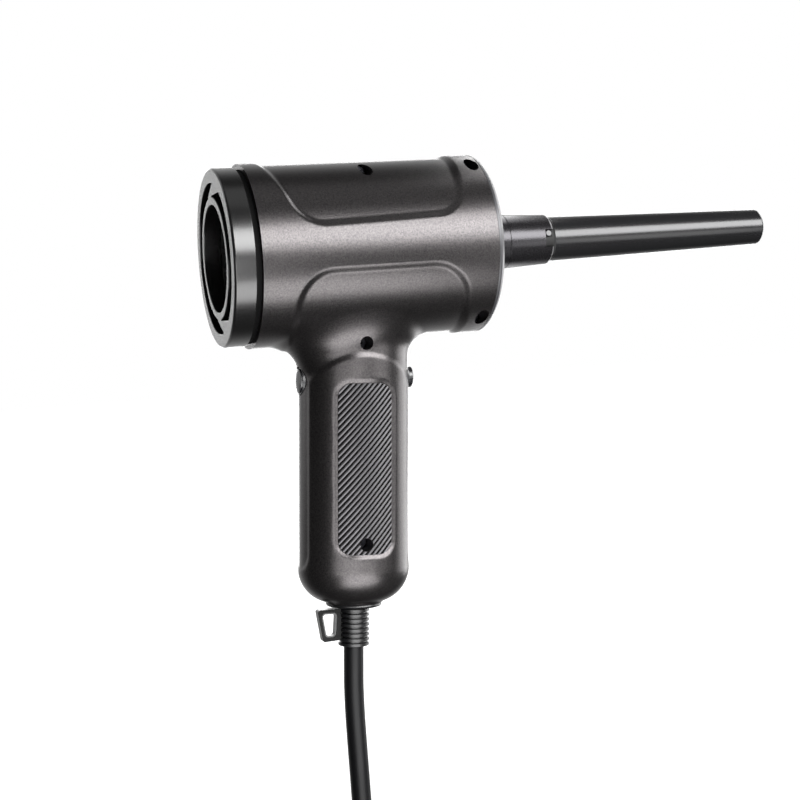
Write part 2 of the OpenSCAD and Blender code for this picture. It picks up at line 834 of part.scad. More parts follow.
module diffuser() {
    hub_r = motor_r + fit_gap + 2.4;
    rim_in = bore_r - fit_gap - 1.6;
    boss_r = bearing_d / 2 + 2;
    color("#dcdad2") on_barrel() {
        tube_x(diffuser_x, diffuser_x + diffuser_hub_t, hub_r, bearing_d / 2 - 2);
        tube_x(diffuser_x + diffuser_hub_t - eps, diffuser_end, hub_r, motor_r + fit_gap);
        tube_x(diffuser_x, diffuser_end, bore_r - fit_gap, rim_in);
        for (i = [0 : vanes - 1])
            rotate([i * 360 / vanes, 0, 0]) translate([diffuser_x + 0.4, 0, hub_r - 0.5])
                rotate([0, 0, 20]) translate([0, -0.8, 0])
                    cube([diffuser_len - 1, 1.6, rim_in - hub_r + 1]);
    }
}

module bearing(x, d)
    tube_x(x, x + bearing_w, d / 2, shaft_d / 2 + run_gap);

module rear_bearing() color("silver") on_barrel() bearing(motor_x + motor_wall + 0.1, bearing_d);
module front_bearing() color("silver") on_barrel() bearing(front_bearing_x, bearing_d);

// ---------- motor ----------

module motor_can()
    color("#8b8e94") on_barrel() difference() {
        union() {
            tube_x(motor_x, motor_front, motor_r, motor_r - motor_wall);
            tube_x(motor_x, motor_x + motor_wall, motor_r - 0.5, shaft_d / 2 + 1.5);
            tube_x(motor_x + motor_wall - eps, motor_x + motor_wall + bearing_w, bearing_d / 2 + 2, bearing_d / 2 + fit_gap);
            tube_x(motor_front - motor_wall, motor_front, motor_r - 0.5, shaft_d / 2 + 1.5);
            tube_x(front_bearing_x - 0.2, motor_front - motor_wall + eps, bearing_d / 2 + 2, bearing_d / 2 + fit_gap);
        }
        for (a = [30 : 60 : 330])
            rotate([a, 0, 0]) bar_x(motor_front - 3, motor_front + 1, 15.5, 2.6);
    }

// A round bar along X at height z
module bar_x(x0, x1, z, r)
    translate([x0, 0, z]) along_x() cylinder(h = x1 - x0, r = r, $fn = medium);

teeth = 6;
tooth_w = 6;

module stator_core()
    color("#6c6f75") on_barrel() {
        tube_x(stator_x, stator_x + stator_len, motor_r - motor_wall - fit_gap, motor_r - motor_wall - 3.4);
        for (i = [0 : teeth - 1])
            rotate([i * 360 / teeth, 0, 0]) intersection() {
                translate([stator_x, -tooth_w / 2, magnet_d / 2 + 0.5])
                    cube([stator_len, tooth_w, motor_r - motor_wall - 3 - magnet_d / 2 - 0.5]);
                tube_x(stator_x, stator_x + stator_len, motor_r, magnet_d / 2 + 0.8);
            }
    }

// One coil of wire round each tooth
module stator_windings()
    color("#b5622d") on_barrel() for (i = [0 : teeth - 1])
        rotate([i * 360 / teeth, 0, 0]) difference() {
            translate([stator_x - 2.4, -tooth_w / 2 - 1.6, magnet_d / 2 + 2])
                cube([stator_len + 4.8, tooth_w + 3.2, 4.4]);
            translate([stator_x - 0.1, -tooth_w / 2 - 0.1, magnet_d / 2])
                cube([stator_len + 0.2, tooth_w + 0.2, 8]);
        }

// Rubber ring that holds the motor's front end in the barrel
module motor_mount()
    color("#2a2a2c") on_barrel() {
        tube_x(mount_x, mount_x + mount_w, motor_r + fit_gap + 3, motor_r + fit_gap);
        for (a = [0 : 90 : 270])
            rotate([a, 0, 0]) intersection() {
                translate([mount_x, -4, motor_r + 1.5]) cube([mount_w, 8, bore_r]);
                tube_x(mount_x, mount_x + mount_w, bore_r - fit_gap);
            }
    }

module rotor_shaft()
    color("#b9bcc2") on_barrel() tube_x(shaft_rear, shaft_front - 0.4, shaft_d / 2);

module rotor_magnet()
    color("#55585e") on_barrel() tube_x(stator_x - 1, stator_x + stator_len + 1, magnet_d / 2, shaft_d / 2 + run_gap);

// ---------- outlet ----------

module front_cap()
    color("#9a9a9e") on_barrel() {
        rim_r = barrel_r;
        neck_r = neck_d / 2;
        along_x() rotate_extrude() polygon([
            [funnel_r, funnel_x], [funnel_r - 1.6, funnel_x], [neck_r - 3.6, cap_x + 2],
            [throat_d / 2, neck_x + 3], [throat_d / 2, collar_x + tenon_len],
            [socket_r - fit_gap, collar_x + tenon_len], [socket_r - fit_gap, collar_x], [neck_r, collar_x],
            [neck_r, neck_x], [rim_r - cap_chamfer, neck_x], [rim_r, neck_x - cap_chamfer],
            [rim_r, cap_x], [funnel_r, cap_x]]);
        // lip that centres the cap in the barrel
        intersection() {
            tube_x(cap_x - 2.5, cap_x + eps, bore_r - fit_gap, bore_r - fit_gap - 1.8);
            translate([0, -barrel_r, -24]) cube([barrel_front + 1, barrel_d, 48]);
        }
        // tabs that the front screws pass through
        for (s = [-1, 1])
            difference() {
                union() {
                    translate([cap_x - screw_front, -tab_t / 2, s * screw_z - 3.6])
                        cube([screw_front + eps, tab_t, 7.2]);
                    bar_y(cap_x - screw_front, s * screw_z, -tab_t / 2, tab_t / 2, 3.6);
                }
                bar_y(cap_x - screw_front, s * screw_z, -tab_t, tab_t, screw_d / 2 + 0.2);
            }
    }

module outlet_collar()
    color("#76777b") on_barrel() difference() {
        along_x() rotate_extrude() polygon([
            [socket_r, collar_x], [neck_d / 2, collar_x], [collar_front_d / 2, collar_end - 1],
            [collar_front_d / 2 - 0.8, collar_end], [socket_r, collar_end]]);
        translate([collar_end - notch_len, -neck_d, -notch_half + 0.1])
            cube([notch_len + 1, neck_d, 2 * notch_half]);
    }

module nozzle_tube()
    color("#101012") on_barrel() {
        tube_r = tube_d / 2;
        tip_r = tip_d / 2;
        plug_r = socket_r - fit_gap;
        groove = ring_section + 0.1;
        tip_round = 0.9;
        difference() {
            along_x() rotate_extrude() polygon([
                [throat_d / 2, plug_x], [plug_r - 0.6, plug_x], [plug_r, plug_x + 0.6],
                [plug_r, seal_x - 0.1], [plug_r - groove, seal_x - 0.1],
                [plug_r - groove, seal_x + groove + 0.1], [plug_r, seal_x + groove + 0.1],
                [plug_r, collar_end + 0.2], [tube_r, collar_end + 1], [tip_r, tip_x - tip_round],
                [tip_r - 0.3, tip_x - 0.25], [tip_r - tip_round, tip_x],
                [tip_bore_d / 2, tip_x], [tip_bore_d / 2, tip_x - tip_bore_len],
                [tube_r - 1.7, collar_end + 8], [throat_d / 2, collar_end]]);
        }
        // lug that shows in the notch of the collar
        rotate([-lug_angle, 0, 0]) difference() {
            translate([lug_x, -plug_r + 0.5, 0]) rotate([90, 0, 0]) cylinder(h = 2.1, r = lug_d / 2, $fn = 32);
            tube_x(lug_x - 5, lug_x + 5, plug_r - 0.6);
        }
    }

module nozzle_seal()
    color("#2b2b2d") on_barrel() {
        r = ring_section / 2;
        translate([seal_x + 0.05 + r, 0, 0]) along_x() rotate_extrude()
            translate([socket_r - fit_gap - r, 0]) circle(r = r, $fn = 24);
    }

// ---------- handle electronics ----------

module control_board()
    color("#1d5a3a") on_handle() difference() {
        across(board_y, board_y + board_t)
            translate([0, (board_low + board_high) / 2]) rounded(board_w, board_high - board_low, 1);
        for (z = post_z)
            bar_y(0, z, board_y - 1, board_y + board_t + 1, board_screw_d / 2 + body_gap);
    }

module board_screws()
    color("silver") on_handle() for (z = post_z)
        translate([0, board_y, z]) cross_screw(board_screw_d, board_screw_len, 2.2 * board_screw_d, 0.8 * board_screw_d);

module capacitor()
    color("#2b3e7a") on_handle() translate([0, board_y - capacitor_r, post_z[0] + post_r])
        cylinder(h = capacitor_len, r = capacitor_r);

module heat_sink()
    color("#a8abb0") on_handle() difference() {
        translate([-10, board_y - 12, 13]) cube([20, 12, 12]);
        for (x = [-7.5 : 4 : 8.5])
            translate([x, board_y - 13, 12]) cube([2, 10, 14]);
    }

module terminal_block()
    color("#2f7d4f") on_handle() difference() {
        translate([-block_w / 2, board_y - block_h, board_low]) cube([block_w, block_h, block_h]);
        for (x = [-6.5, 6.5])
            translate([x, board_y - block_h / 2, board_low - 1]) cylinder(h = 5, r = 1.5, $fn = medium);
    }

// The two mains conductors, from the cord's end round the lower screw boss to the terminal block
module mains_leads()
    color("#7c4a2a") on_handle() for (s = [-1, 1])
        tube_along([
            [s * 2.2, 0, tail_top + body_gap], [s * 2.2, 0, tail_top + body_gap + 0.6],
            [s * 2.8, 0, tail_top + 2.6], [s * 5.6, board_y - block_h / 2, -38],
            [s * 6.5, board_y - block_h / 2, -34],
            [s * 6.5, board_y - block_h / 2, board_low + 3]], 1.2, 8, [0, 1, 0]);

// The three motor leads, from the top of the board up to the can
module motor_leads()
    color("#a03030") on_handle() for (i = [-1 : 1]) {
        y = board_y + board_t / 2;
        x = 9 + i * 2.4;
        can_z = grip_to_barrel + x * tan(lean) - sqrt(motor_r * motor_r - y * y) / cos(lean);
        translate([x, y, board_high]) cylinder(h = can_z - board_high - 0.2, r = 1, $fn = 24);
    }

// ---------- cord ----------

module strain_relief()
    color("#161618") on_handle() {
        pitch = relief_len / relief_ribs;
        inner_r = cord_d / 2 + fit_gap;
        difference() {
            union() {
                translate([0, 0, -grip_to_base - relief_flange_t]) cylinder(h = relief_flange_t, r = relief_flange_d / 2);
                translate([0, 0, -grip_to_base]) cylinder(h = wall + 0.8, r = relief_neck_r);
                translate([0, 0, -grip_to_base + wall + 0.7]) cylinder(h = 1.5, r = relief_collar_r);
                translate([0, 0, relief_end]) cylinder(h = relief_len + eps, r = relief_d / 2 - 1);
                for (i = [0 : relief_ribs - 1])
                    translate([0, 0, relief_end + i * pitch])
                        rotate_extrude() polygon([[inner_r, 0], [relief_d / 2 - 0.3, 0],
                            [relief_d / 2, 0.3], [relief_d / 2, 0.6 * pitch], [relief_d / 2 - 0.3, 0.72 * pitch],
                            [inner_r, 0.72 * pitch]]);
                hang_loop();
            }
            translate([0, 0, relief_end - 1]) cylinder(h = relief_len + relief_flange_t + wall + 4, r = inner_r);
        }
    }

// Moulded loop beside the ribs, in X and Z
loop_corners = [[-16.2, -65.7], [-7, -65.4], [-7, -77.2], [-13.9, -77.8]];
loop_hole = [[-13.6, -67.8], [-10.2, -67.8], [-10.6, -75.2], [-12.2, -75.2]];
module hang_loop()
    across(-2.2, 2.2) difference() {
        hull() for (p = loop_corners) translate(p) circle(r = 1.2, $fn = 32);
        hull() for (p = loop_hole) translate(p) circle(r = 1.2, $fn = 32);
    }

module cord_tail()
    color("#101012") on_handle() translate([0, 0, relief_end]) cylinder(h = tail_top - relief_end, r = cord_d / 2);

clamp_z = -53;
module cord_clamp()
    color("#2d2d30") on_handle() difference() {
        translate([-13, -cord_d / 2 - 2.5, clamp_z - 3]) cube([26, cord_d + 5, 6]);
        translate([0, 0, clamp_z - 4]) cylinder(h = 8, r = cord_d / 2 + 0.05);
        for (x = [-9, 9])
            bar_y(x, clamp_z, -20, 20, 1.6);
    }

module clamp_screws()
    color("silver") on_handle() for (x = [-9, 9])
        translate([x, -cord_d / 2 - 2.5, clamp_z]) cross_screw(3, cord_d + 5, 5, 2);

module cord()
    color("#111113") tube_along(cord_route, cord_d / 2, 10, [1, 0, 0]);

// Centre line of the coil: it winds in, out, in and out again, one layer lower each time, and changes
// layer in the half turn round each place where the spiral reverses.
rings_per_turn = 24;
layers = 4;
turns_per_layer = coil_turns / layers;
function smooth(s) = let (c = max(0, min(1, s))) c * c * (3 - 2 * c);
function coil_radius(u) =
    let (k = floor(u / turns_per_layer), f = u / turns_per_layer - k)
    coil_r - coil_step * turns_per_layer * (k % 2 == 0 ? f : 1 - f);
function coil_height(u) =
    coil_z - coil_drop * (smooth((u - turns_per_layer) * 2 + 0.5)
        + smooth((u - 2 * turns_per_layer) * 2 + 0.5) + smooth((u - 3 * turns_per_layer) * 2 + 0.5));
function coil_point(u) =
    [coil_centre[0] + coil_radius(u) * cos(180 + 360 * u), coil_centre[1] + coil_radius(u) * sin(180 + 360 * u), coil_height(u)];
coil_low = coil_z - (layers - 1) * coil_drop;
coil_path = concat(
    [[coil_centre[0] - coil_r, coil_centre[1], coil_z], [coil_centre[0] - coil_r, coil_centre[1] - cord_d / 4, coil_z]],
    [for (i = [1 : floor(coil_turns * rings_per_turn)]) coil_point(i / rings_per_turn)],
    [[62, coil_centre[1] - coil_r, coil_low], [70, coil_centre[1] - coil_r, coil_low + 0.5],
     [78, coil_centre[1] - coil_r, coil_low + 1.6], [86, coil_centre[1] - coil_r, coil_low + 3.2],
     [94, coil_centre[1] - coil_r, coil_low + 4], [plug_start[0], coil_centre[1] - coil_r, coil_low + 4]]);
function least_gap(p, near) = min([for (i = [0 : len(p) - 1])
    for (j = [i + near : 1 : len(p) - 1]) norm(p[i] - p[j])]) - cord_d;
echo(coil_least_gap = least_gap(coil_path, rings_per_turn / 2));

module cord_coil()
    color("#111113") tube_along(coil_path, cord_d / 2, 6, [0, 0, 1]);

// Plug: boot, body with flat grip sides, and two round pins
module plug()
    color("#151517") translate(plug_start) difference() {
        union() {
            along_x() cylinder(h = boot_len + 1, r1 = cord_d / 2 + 0.8, r2 = 7);
            intersection() {
                forward(boot_len, boot_len + plug_len_body) rounded(plug_w, plug_h, 6);
                translate([boot_len + plug_len_body - 40, 0, 0]) along_x() cylinder(h = 41, r = 20);
            }
        }
        for (s = [-1, 1])
            translate([boot_len + plug_len_body - 8, s * pin_spread / 2, 0]) along_x()
                cylinder(h = 9, r = pin_d / 2 + 0.02, $fn = medium);
    }

module plug_pins()
    color("#c8c8cc") translate(plug_start) for (s = [-1, 1])
        translate([boot_len + plug_len_body - 8, s * pin_spread / 2, 0]) along_x() {
            cylinder(h = 8 + pin_len - 1, r = pin_d / 2, $fn = medium);
            translate([0, 0, 7 + pin_len - eps]) cylinder(h = 1, r1 = pin_d / 2, r2 = pin_d / 2 - 0.8, $fn = medium);
        }

// ---------- draw ----------

right_shell();
left_shell();
shell_screws();
front_cap();
outlet_collar();
right_grip_inlay();
left_grip_inlay();
rear_button_ring();
front_button_ring();
strain_relief();
finger_guard();
fan_shroud();
diffuser();
rear_bearing();
front_bearing();
motor_can();
stator_core();
stator_windings();
motor_mount();
control_board();
capacitor();
heat_sink();
terminal_block();
board_screws();
power_switch();
speed_switch();
motor_leads();
mains_leads();
cord_tail();
cord_clamp();
clamp_screws();
intake_cover();
intake_filter();
rotor_shaft();
rotor_magnet();
impeller();
impeller_nut();
nozzle_seal();
nozzle_tube();
power_button();
speed_button();
cord();
cord_coil();
plug();
plug_pins();
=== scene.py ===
# %% [markdown]
# # Car dryer blower
# A hand-held blower dries a washed car with a narrow stream of air. A fan in the barrel draws it in
# through the round cover at the rear and drives it out of the long nozzle.
#
# The CAD frame holds every piece at its place, with the bodies that move. Here the visible pieces
# are modelled again with finer edges, get a finish and are tied to their bodies. Sizes are in
# millimetres, and the helpers turn them into Blender's metres.

# %% Load the frame
import math

import bpy
import numpy as np
from mathutils import Matrix, Vector

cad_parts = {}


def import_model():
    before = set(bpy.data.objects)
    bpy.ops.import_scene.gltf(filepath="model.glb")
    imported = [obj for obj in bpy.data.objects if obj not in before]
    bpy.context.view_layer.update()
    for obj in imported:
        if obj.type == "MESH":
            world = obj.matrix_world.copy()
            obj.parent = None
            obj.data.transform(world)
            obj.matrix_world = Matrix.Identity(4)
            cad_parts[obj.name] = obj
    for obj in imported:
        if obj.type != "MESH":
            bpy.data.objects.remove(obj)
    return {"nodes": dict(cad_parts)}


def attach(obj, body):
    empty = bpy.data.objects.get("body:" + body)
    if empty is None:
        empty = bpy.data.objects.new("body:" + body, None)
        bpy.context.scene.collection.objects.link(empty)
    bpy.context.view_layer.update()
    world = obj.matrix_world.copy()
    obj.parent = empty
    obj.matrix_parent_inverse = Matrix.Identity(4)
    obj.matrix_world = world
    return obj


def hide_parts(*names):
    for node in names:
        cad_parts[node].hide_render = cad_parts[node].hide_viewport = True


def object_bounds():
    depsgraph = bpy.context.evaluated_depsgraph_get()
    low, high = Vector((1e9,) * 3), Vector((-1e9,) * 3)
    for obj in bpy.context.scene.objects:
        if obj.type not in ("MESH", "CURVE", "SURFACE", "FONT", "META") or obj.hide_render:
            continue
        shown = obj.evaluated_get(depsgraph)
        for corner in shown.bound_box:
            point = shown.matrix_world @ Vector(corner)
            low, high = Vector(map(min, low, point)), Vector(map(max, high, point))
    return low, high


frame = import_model()
loaded = [list(map(float, corner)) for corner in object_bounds()]
nodes = frame["nodes"]
MM = 0.001

# %% [markdown]
# ## Where things sit
# The barrel lies level along X. The handle hangs below it and leans a little, with the origin in the
# middle of the grip. Each piece is drawn in the frame of what carries it and is then moved by the
# lean and by the distance from grip to barrel.

# %% Place the barrel over the grip
LEAN = math.radians(4.5)
GRIP_TO_BARREL = 97.0
BARREL_X = GRIP_TO_BARREL * math.sin(LEAN)
BARREL_Z = GRIP_TO_BARREL * math.cos(LEAN)
print(f"barrel's axis crosses the handle's at x {BARREL_X:.2f}, z {BARREL_Z:.2f} mm")

# %% [markdown]
# ## Camera
# The blower is seen from the side that its screws go in from, a little from the rear, so that the
# open cover, the grip and the whole nozzle show. A long lens keeps the barrel's rims nearly
# parallel, and UP is tilted so that the nozzle rises a little.

# %% Set up the camera
CAMERA_AT = (-181.5, -625.2, 66.7)
LOOK = (0.3123, 0.9481, -0.0591)
UP = (0.0893, 0.0327, 0.9955)
LENS_MM = 65.0


def place_camera(position, forward, up):
    f = Vector(forward).normalized()
    right = f.cross(Vector(up)).normalized()
    turn = Matrix((right, right.cross(f), -f)).transposed()
    bpy.ops.object.camera_add(location=Vector(position) * MM, rotation=turn.to_euler())
    camera = bpy.context.object
    camera.name = "camera"
    camera.data.lens = LENS_MM
    camera.data.clip_start = 0.01
    bpy.context.scene.camera = camera


place_camera(CAMERA_AT, LOOK, UP)
print(f"camera {Vector(CAMERA_AT).length:.0f} mm from the grip")

# %% [markdown]
# ## How a finish is made
# Every finish is a Principled shader with a slightly uneven roughness, as on any moulded, drawn or
# turned surface. `rgb` turns a hex colour into linear values. `add` puts in one node: its options,
# then its sockets by number where two share a name, and otherwise by name.

# %% Colours and nodes
def rgb(code):
    parts = [int(code[i:i + 2], 16) / 255 for i in (0, 2, 4)]
    return [p / 12.92 if p <= 0.04045 else ((p + 0.055) / 1.055) ** 2.4 for p in parts] + [1.0]


def wire(node, sockets):
    """Sets or links sockets, by name or number. A node stands for its first output."""
    for key, value in sockets.items():
        if isinstance(value, bpy.types.Node):
            value = value.outputs[0]
        if isinstance(value, bpy.types.NodeSocket):
            node.id_data.links.new(value, node.inputs[key])
        else:
            node.inputs[key].default_value = value
    return node


def add(tree, kind, settings=(), at=(), **sockets):
    node = tree.nodes.new("ShaderNode" + kind)
    for key, value in dict(settings).items():
        setattr(node, key, value)
    return wire(node, {key.replace("_", " "): value for key, value in sockets.items()} | dict(at))


def per_metre(size_mm):
    """The Scale of a texture whose cells are size_mm wide."""
    return 1 / (size_mm * MM)


# %% [markdown]
# Two textures cover all the surfaces. `grain` is the fine bump of an eroded mould or of foam: noise
# that tilts the surface and varies its roughness. `streak` is the broad, soft variation that
# handling and drawing leave on a smooth surface.

# %% One recipe for every surface
GRAIN_DEPTH_MM = 0.1
GRAIN_SPREAD = 0.06
STREAK_MM = 200 / 7
COAT_ROUGHNESS = 0.08


def finish(name, colour, rough, metal=0.0, coat=0.0, grain=0.0, grain_mm=0.3, gloss=0.5, streak=0.0):
    material = bpy.data.materials.new(name)
    material.use_nodes = True
    tree = material.node_tree
    shader = tree.nodes["Principled BSDF"]
    wire(shader, {"Base Color": rgb(colour), "Roughness": rough, "Metallic": metal, "Coat Weight": coat,
                  "Coat Roughness": COAT_ROUGHNESS, "Specular IOR Level": gloss})
    place = add(tree, "TexCoord").outputs["Object"]
    if grain:
        noise = add(tree, "TexNoise", Vector=place, Scale=per_metre(grain_mm), Detail=2.0)
        bump = add(tree, "Bump", Height=noise, Strength=grain, Distance=GRAIN_DEPTH_MM * MM)
        spread = add(tree, "MapRange", Value=noise, To_Min=rough - GRAIN_SPREAD,
                     To_Max=rough + GRAIN_SPREAD)
        wire(shader, {"Normal": bump, "Roughness": spread})
    if streak:
        scuffs = add(tree, "TexNoise", Vector=place, Scale=per_metre(STREAK_MM), Detail=4.0)
        spread = add(tree, "MapRange", Value=scuffs, To_Min=rough, To_Max=rough + streak)
        wire(shader, {"Roughness": spread})
    return material


# %% [markdown]
# ## Gunmetal shell
# The shells are ABS with metal flake, injection moulded in an eroded mould. The flake answers light
# almost as metal does, so the barrel shows broad bands with dark stretches between them. Paint would
# hide the grain, so the flake is in the colour: cloudy noise for the ground, and Voronoi cells, of
# which only those with the highest random value turn bright. Real flakes, about 0.05 mm across, are
# too fine to show, so both patterns are drawn several times coarser.

# %% The shell's material
MOTTLE_MM = 5 / 7
FLECK_MM = 5 / 18
FLECK_FROM, FLECK_TO = 0.92, 1.9


def gunmetal():
    material = finish("satin_gunmetal_abs", "3b3839", 0.3, metal=0.9, grain=0.32, grain_mm=0.5)
    tree = material.node_tree
    place = add(tree, "TexCoord").outputs["Object"]
    cloud = add(tree, "TexNoise", Vector=place, Scale=per_metre(MOTTLE_MM), Detail=3.0)
    level = add(tree, "MapRange", Value=cloud, From_Min=0.34, From_Max=0.6)
    ground = add(tree, "Mix", {"data_type": "RGBA"}, {6: rgb("333132"), 7: rgb("3e3c3c")},
                 Factor=level)
    fleck = add(tree, "TexVoronoi", Vector=place, Scale=per_metre(FLECK_MM))
    pick = add(tree, "SeparateColor", Color=fleck.outputs["Color"])
    bright = add(tree, "MapRange", Value=pick, From_Min=FLECK_FROM, From_Max=FLECK_TO)
    tint = add(tree, "Mix", {"data_type": "RGBA"}, {6: ground.outputs[2], 7: rgb("8e8a8b")},
               Factor=bright)
    wire(tree.nodes["Principled BSDF"], {"Base Color": tint.outputs[2]})
    return material


mats = {"shell": gunmetal()}
print("shell material has", len(mats["shell"].node_tree.nodes), "nodes")

# %% [markdown]
# ## Outer plastics and rubbers
# The pieces round the shells are dark. What tells them apart is hardly their colour: it is how
# sharply each one mirrors a lamp. So each finish starts from how the real surface was made.

# %% Outer finishes
mats.update({
    # Moulded ABS with a pale flake: a light, soft line against the dark barrel.
    "cap": finish("satin_light_grey_abs", "353537", 0.38, metal=0.4, grain=0.1),
    # Moulded ABS with flake and a finer grain: a crisper band than the shell's.
    "collar": finish("satin_grey_abs", "2d2c2e", 0.27, metal=0.8, grain=0.05),
    # ABS from a polished mould: it shows only the lamps, as a smooth sheen.
    "gloss": finish("polished_black_abs", "0c0c0c", 0.23, coat=0.04, streak=0.04),
    # Drawn tube, dyed black: long reflections along the taper.
    "tube": finish("drawn_black_tube", "1b1b1c", 0.2, metal=0.35, streak=0.05),
    # The tube's inner end, painted near-black as the shade inside the notch.
    "spigot": finish("painted_shade_spigot", "0a0a0a", 0.55, gloss=0.25, streak=0.06),
    # Moulded rubber, wiped by use: a thin bright line on each ridge's back.
    "grip": finish("moulded_grip_rubber", "49484a", 0.34, metal=0.5, grain=0.05, grain_mm=0.4),
    # Painted shade: near-black for the bottoms of grooves and narrow gaps, on rubber and plastic alike.
    "groove": finish("near_black_painted_shade", "020202", 0.7, gloss=0.1, streak=0.08),
    # Moulded ABS with a light texture: fittings that stay in the background.
    "trim": finish("satin_black_abs", "19191b", 0.4, grain=0.1),
    # ABS, half polished by thumbs: one soft highlight on the dome.
    "button": finish("half_gloss_black_abs", "131315", 0.25, streak=0.04),
    # PVC moulded on to the cord: smooth ribs with a clear highlight each.
    "rubber": finish("moulded_cord_pvc", "0a0a0b", 0.34, gloss=0.42, grain=0.04, grain_mm=0.4),
    # PVC extruded round the wires: darker and more even than the boot.
    "cord": finish("extruded_cord_pvc", "070708", 0.42, gloss=0.13, grain=0.05, grain_mm=0.5),
    # The hang loop's sides, from an etched mould: dull beside the raised border.
    "etched": finish("etched_cord_pvc", "060606", 0.62, gloss=0.12, streak=0.06),
    # Nitrile rubber: dull and a little dusty.
    "soft": finish("matt_nitrile_rubber", "232325", 0.6, grain=0.1),
    # Open-cell foam, pores of 0.7 mm: it swallows the light behind the cover.
    "foam": finish("open_cell_filter_foam", "0a0a0b", 0.95, grain=1.0, grain_mm=0.7),
})

# %% [markdown]
# ## Inner materials
# Inside, the colours come back: pale nylon round the fan, copper in the motor, green on the board.
# Bare metals are fully metallic, and their colour is that of their reflection.

# %% Inner finishes
mats.update({
    # Unfilled nylon as moulded: creamy white, with a faint texture.
    "nylon": finish("natural_nylon", "d9d6cb", 0.45, grain=0.08, grain_mm=0.4),
    # Steel turned and ground: bright, with slightly uneven gloss.
    "steel": finish("turned_bright_steel", "b9bbbf", 0.25, metal=1.0, streak=0.1),
    # Steel with a black oxide skin: a dark glint at the bottom of the wells.
    "black_steel": finish("black_oxide_steel", "242427", 0.35, metal=1.0, streak=0.08),
    # Sheet steel, drawn and zinc plated: cooler and duller than the shaft.
    "zinc": finish("drawn_zinc_plated_steel", "8d9094", 0.33, metal=1.0, streak=0.1),
    # Copper wire under clear enamel: a second, sharper highlight.
    "copper": finish("enamelled_copper_wire", "a8552a", 0.28, metal=1.0, coat=0.4, streak=0.05),
    # Machined aluminium: pale, with the soft smear of tool marks.
    "aluminium": finish("machined_aluminium", "c6c8cc", 0.3, metal=1.0, streak=0.08),
    # Ferrite in an epoxy coat: dull grey with a finely pitted skin.
    "magnet": finish("epoxy_coated_ferrite", "45474b", 0.5, grain=0.2, grain_mm=0.2),
    # Glass fibre board under solder mask: green and glossy as lacquer.
    "board": finish("green_solder_mask", "14512f", 0.28, coat=0.3, streak=0.05),
    # Heat-shrink sleeve: tight and smooth, with a plain highlight.
    "sleeve": finish("blue_heat_shrink", "23386f", 0.28, streak=0.05),
    # Polyamide as moulded: half dull.
    "terminal": finish("green_polyamide", "2c7b48", 0.45, grain=0.06),
    # Nylon with glass fibre, which roughens the skin.
    "switch": finish("glass_filled_black_nylon", "29292b", 0.5, grain=0.15, grain_mm=0.2),
    # Silicone insulation, extruded: soft sheen.
    "lead_red": finish("red_silicone_lead", "93211c", 0.43, streak=0.05),
    # PVC insulation, extruded: the same sheen in brown.
    "lead_brown": finish("brown_pvc_lead", "5f3a20", 0.43, streak=0.05),
    # Brass with bright nickel: the clearest mirror on the tool.
    "nickel": finish("nickel_plated_brass", "c9c8c4", 0.16, metal=1.0, streak=0.05),
})
print("materials:", len(mats))

# %% [markdown]
# ## Modelling helpers
# Blender's operators act on what is selected, so each helper first selects its object. `apply` adds
# a modifier and makes it part of the mesh, `edit` runs one step on the whole mesh in edit mode, and
# `bevel` rounds the sharp edges, which makes a plastic piece catch light on its rims.

# %% Select, apply and edit
def select(obj):
    bpy.ops.object.select_all(action="DESELECT")
    obj.select_set(True)
    bpy.context.view_layer.objects.active = obj


def apply(obj, kind, **settings):
    select(obj)
    modifier = obj.modifiers.new("step", kind)
    for key, value in settings.items():
        setattr(modifier, key, value)
    bpy.ops.object.modifier_apply(modifier=modifier.name)
    return obj


def bake(obj):
    """Moves place, turn and size into the mesh."""
    select(obj)
    bpy.ops.object.transform_apply(location=True, rotation=True, scale=True)
    return obj


def edit(obj, step):
    select(obj)
    bpy.ops.object.mode_set(mode="EDIT")
    bpy.ops.mesh.select_all(action="SELECT")
    step()
    bpy.ops.object.mode_set(mode="OBJECT")
    return obj


def outward(obj):
    return edit(obj, lambda: bpy.ops.mesh.normals_make_consistent(inside=False))


# %% Smooth and bevel
def smooth(obj, angle=32):
    select(obj)
    bpy.ops.object.shade_smooth_by_angle(angle=math.radians(angle))
    return obj


def bevel(obj, width, segments=2, angle=35):
    apply(obj, "BEVEL", width=width * MM, segments=segments, limit_method="ANGLE",
          angle_limit=math.radians(angle), use_clamp_overlap=True, harden_normals=False)
    smooth(obj)
    return apply(obj, "WEIGHTED_NORMAL", keep_sharp=True, weight=100)


# %% [markdown]
# Most pieces are turned or moulded round an axis. `lathe` spins half of the section with the Screw
# modifier. Corners are rounded in the section first, which is cleaner than a bevel on the finished
# ring, and a point close behind each one holds the flat beside it.

# %% Turned pieces
CORNER_STEPS, HOLD = 3, 0.06
LONG_SIDE, SHORT_SIDE = 1.5, 0.25


def put(name, data):
    obj = bpy.data.objects.new(name, data)
    bpy.context.scene.collection.objects.link(obj)
    return obj


def mesh_object(name, verts, edges=(), faces=()):
    mesh = bpy.data.meshes.new(name)
    mesh.from_pydata([Vector(v) * MM for v in verts], edges, faces)
    return put(name, mesh)


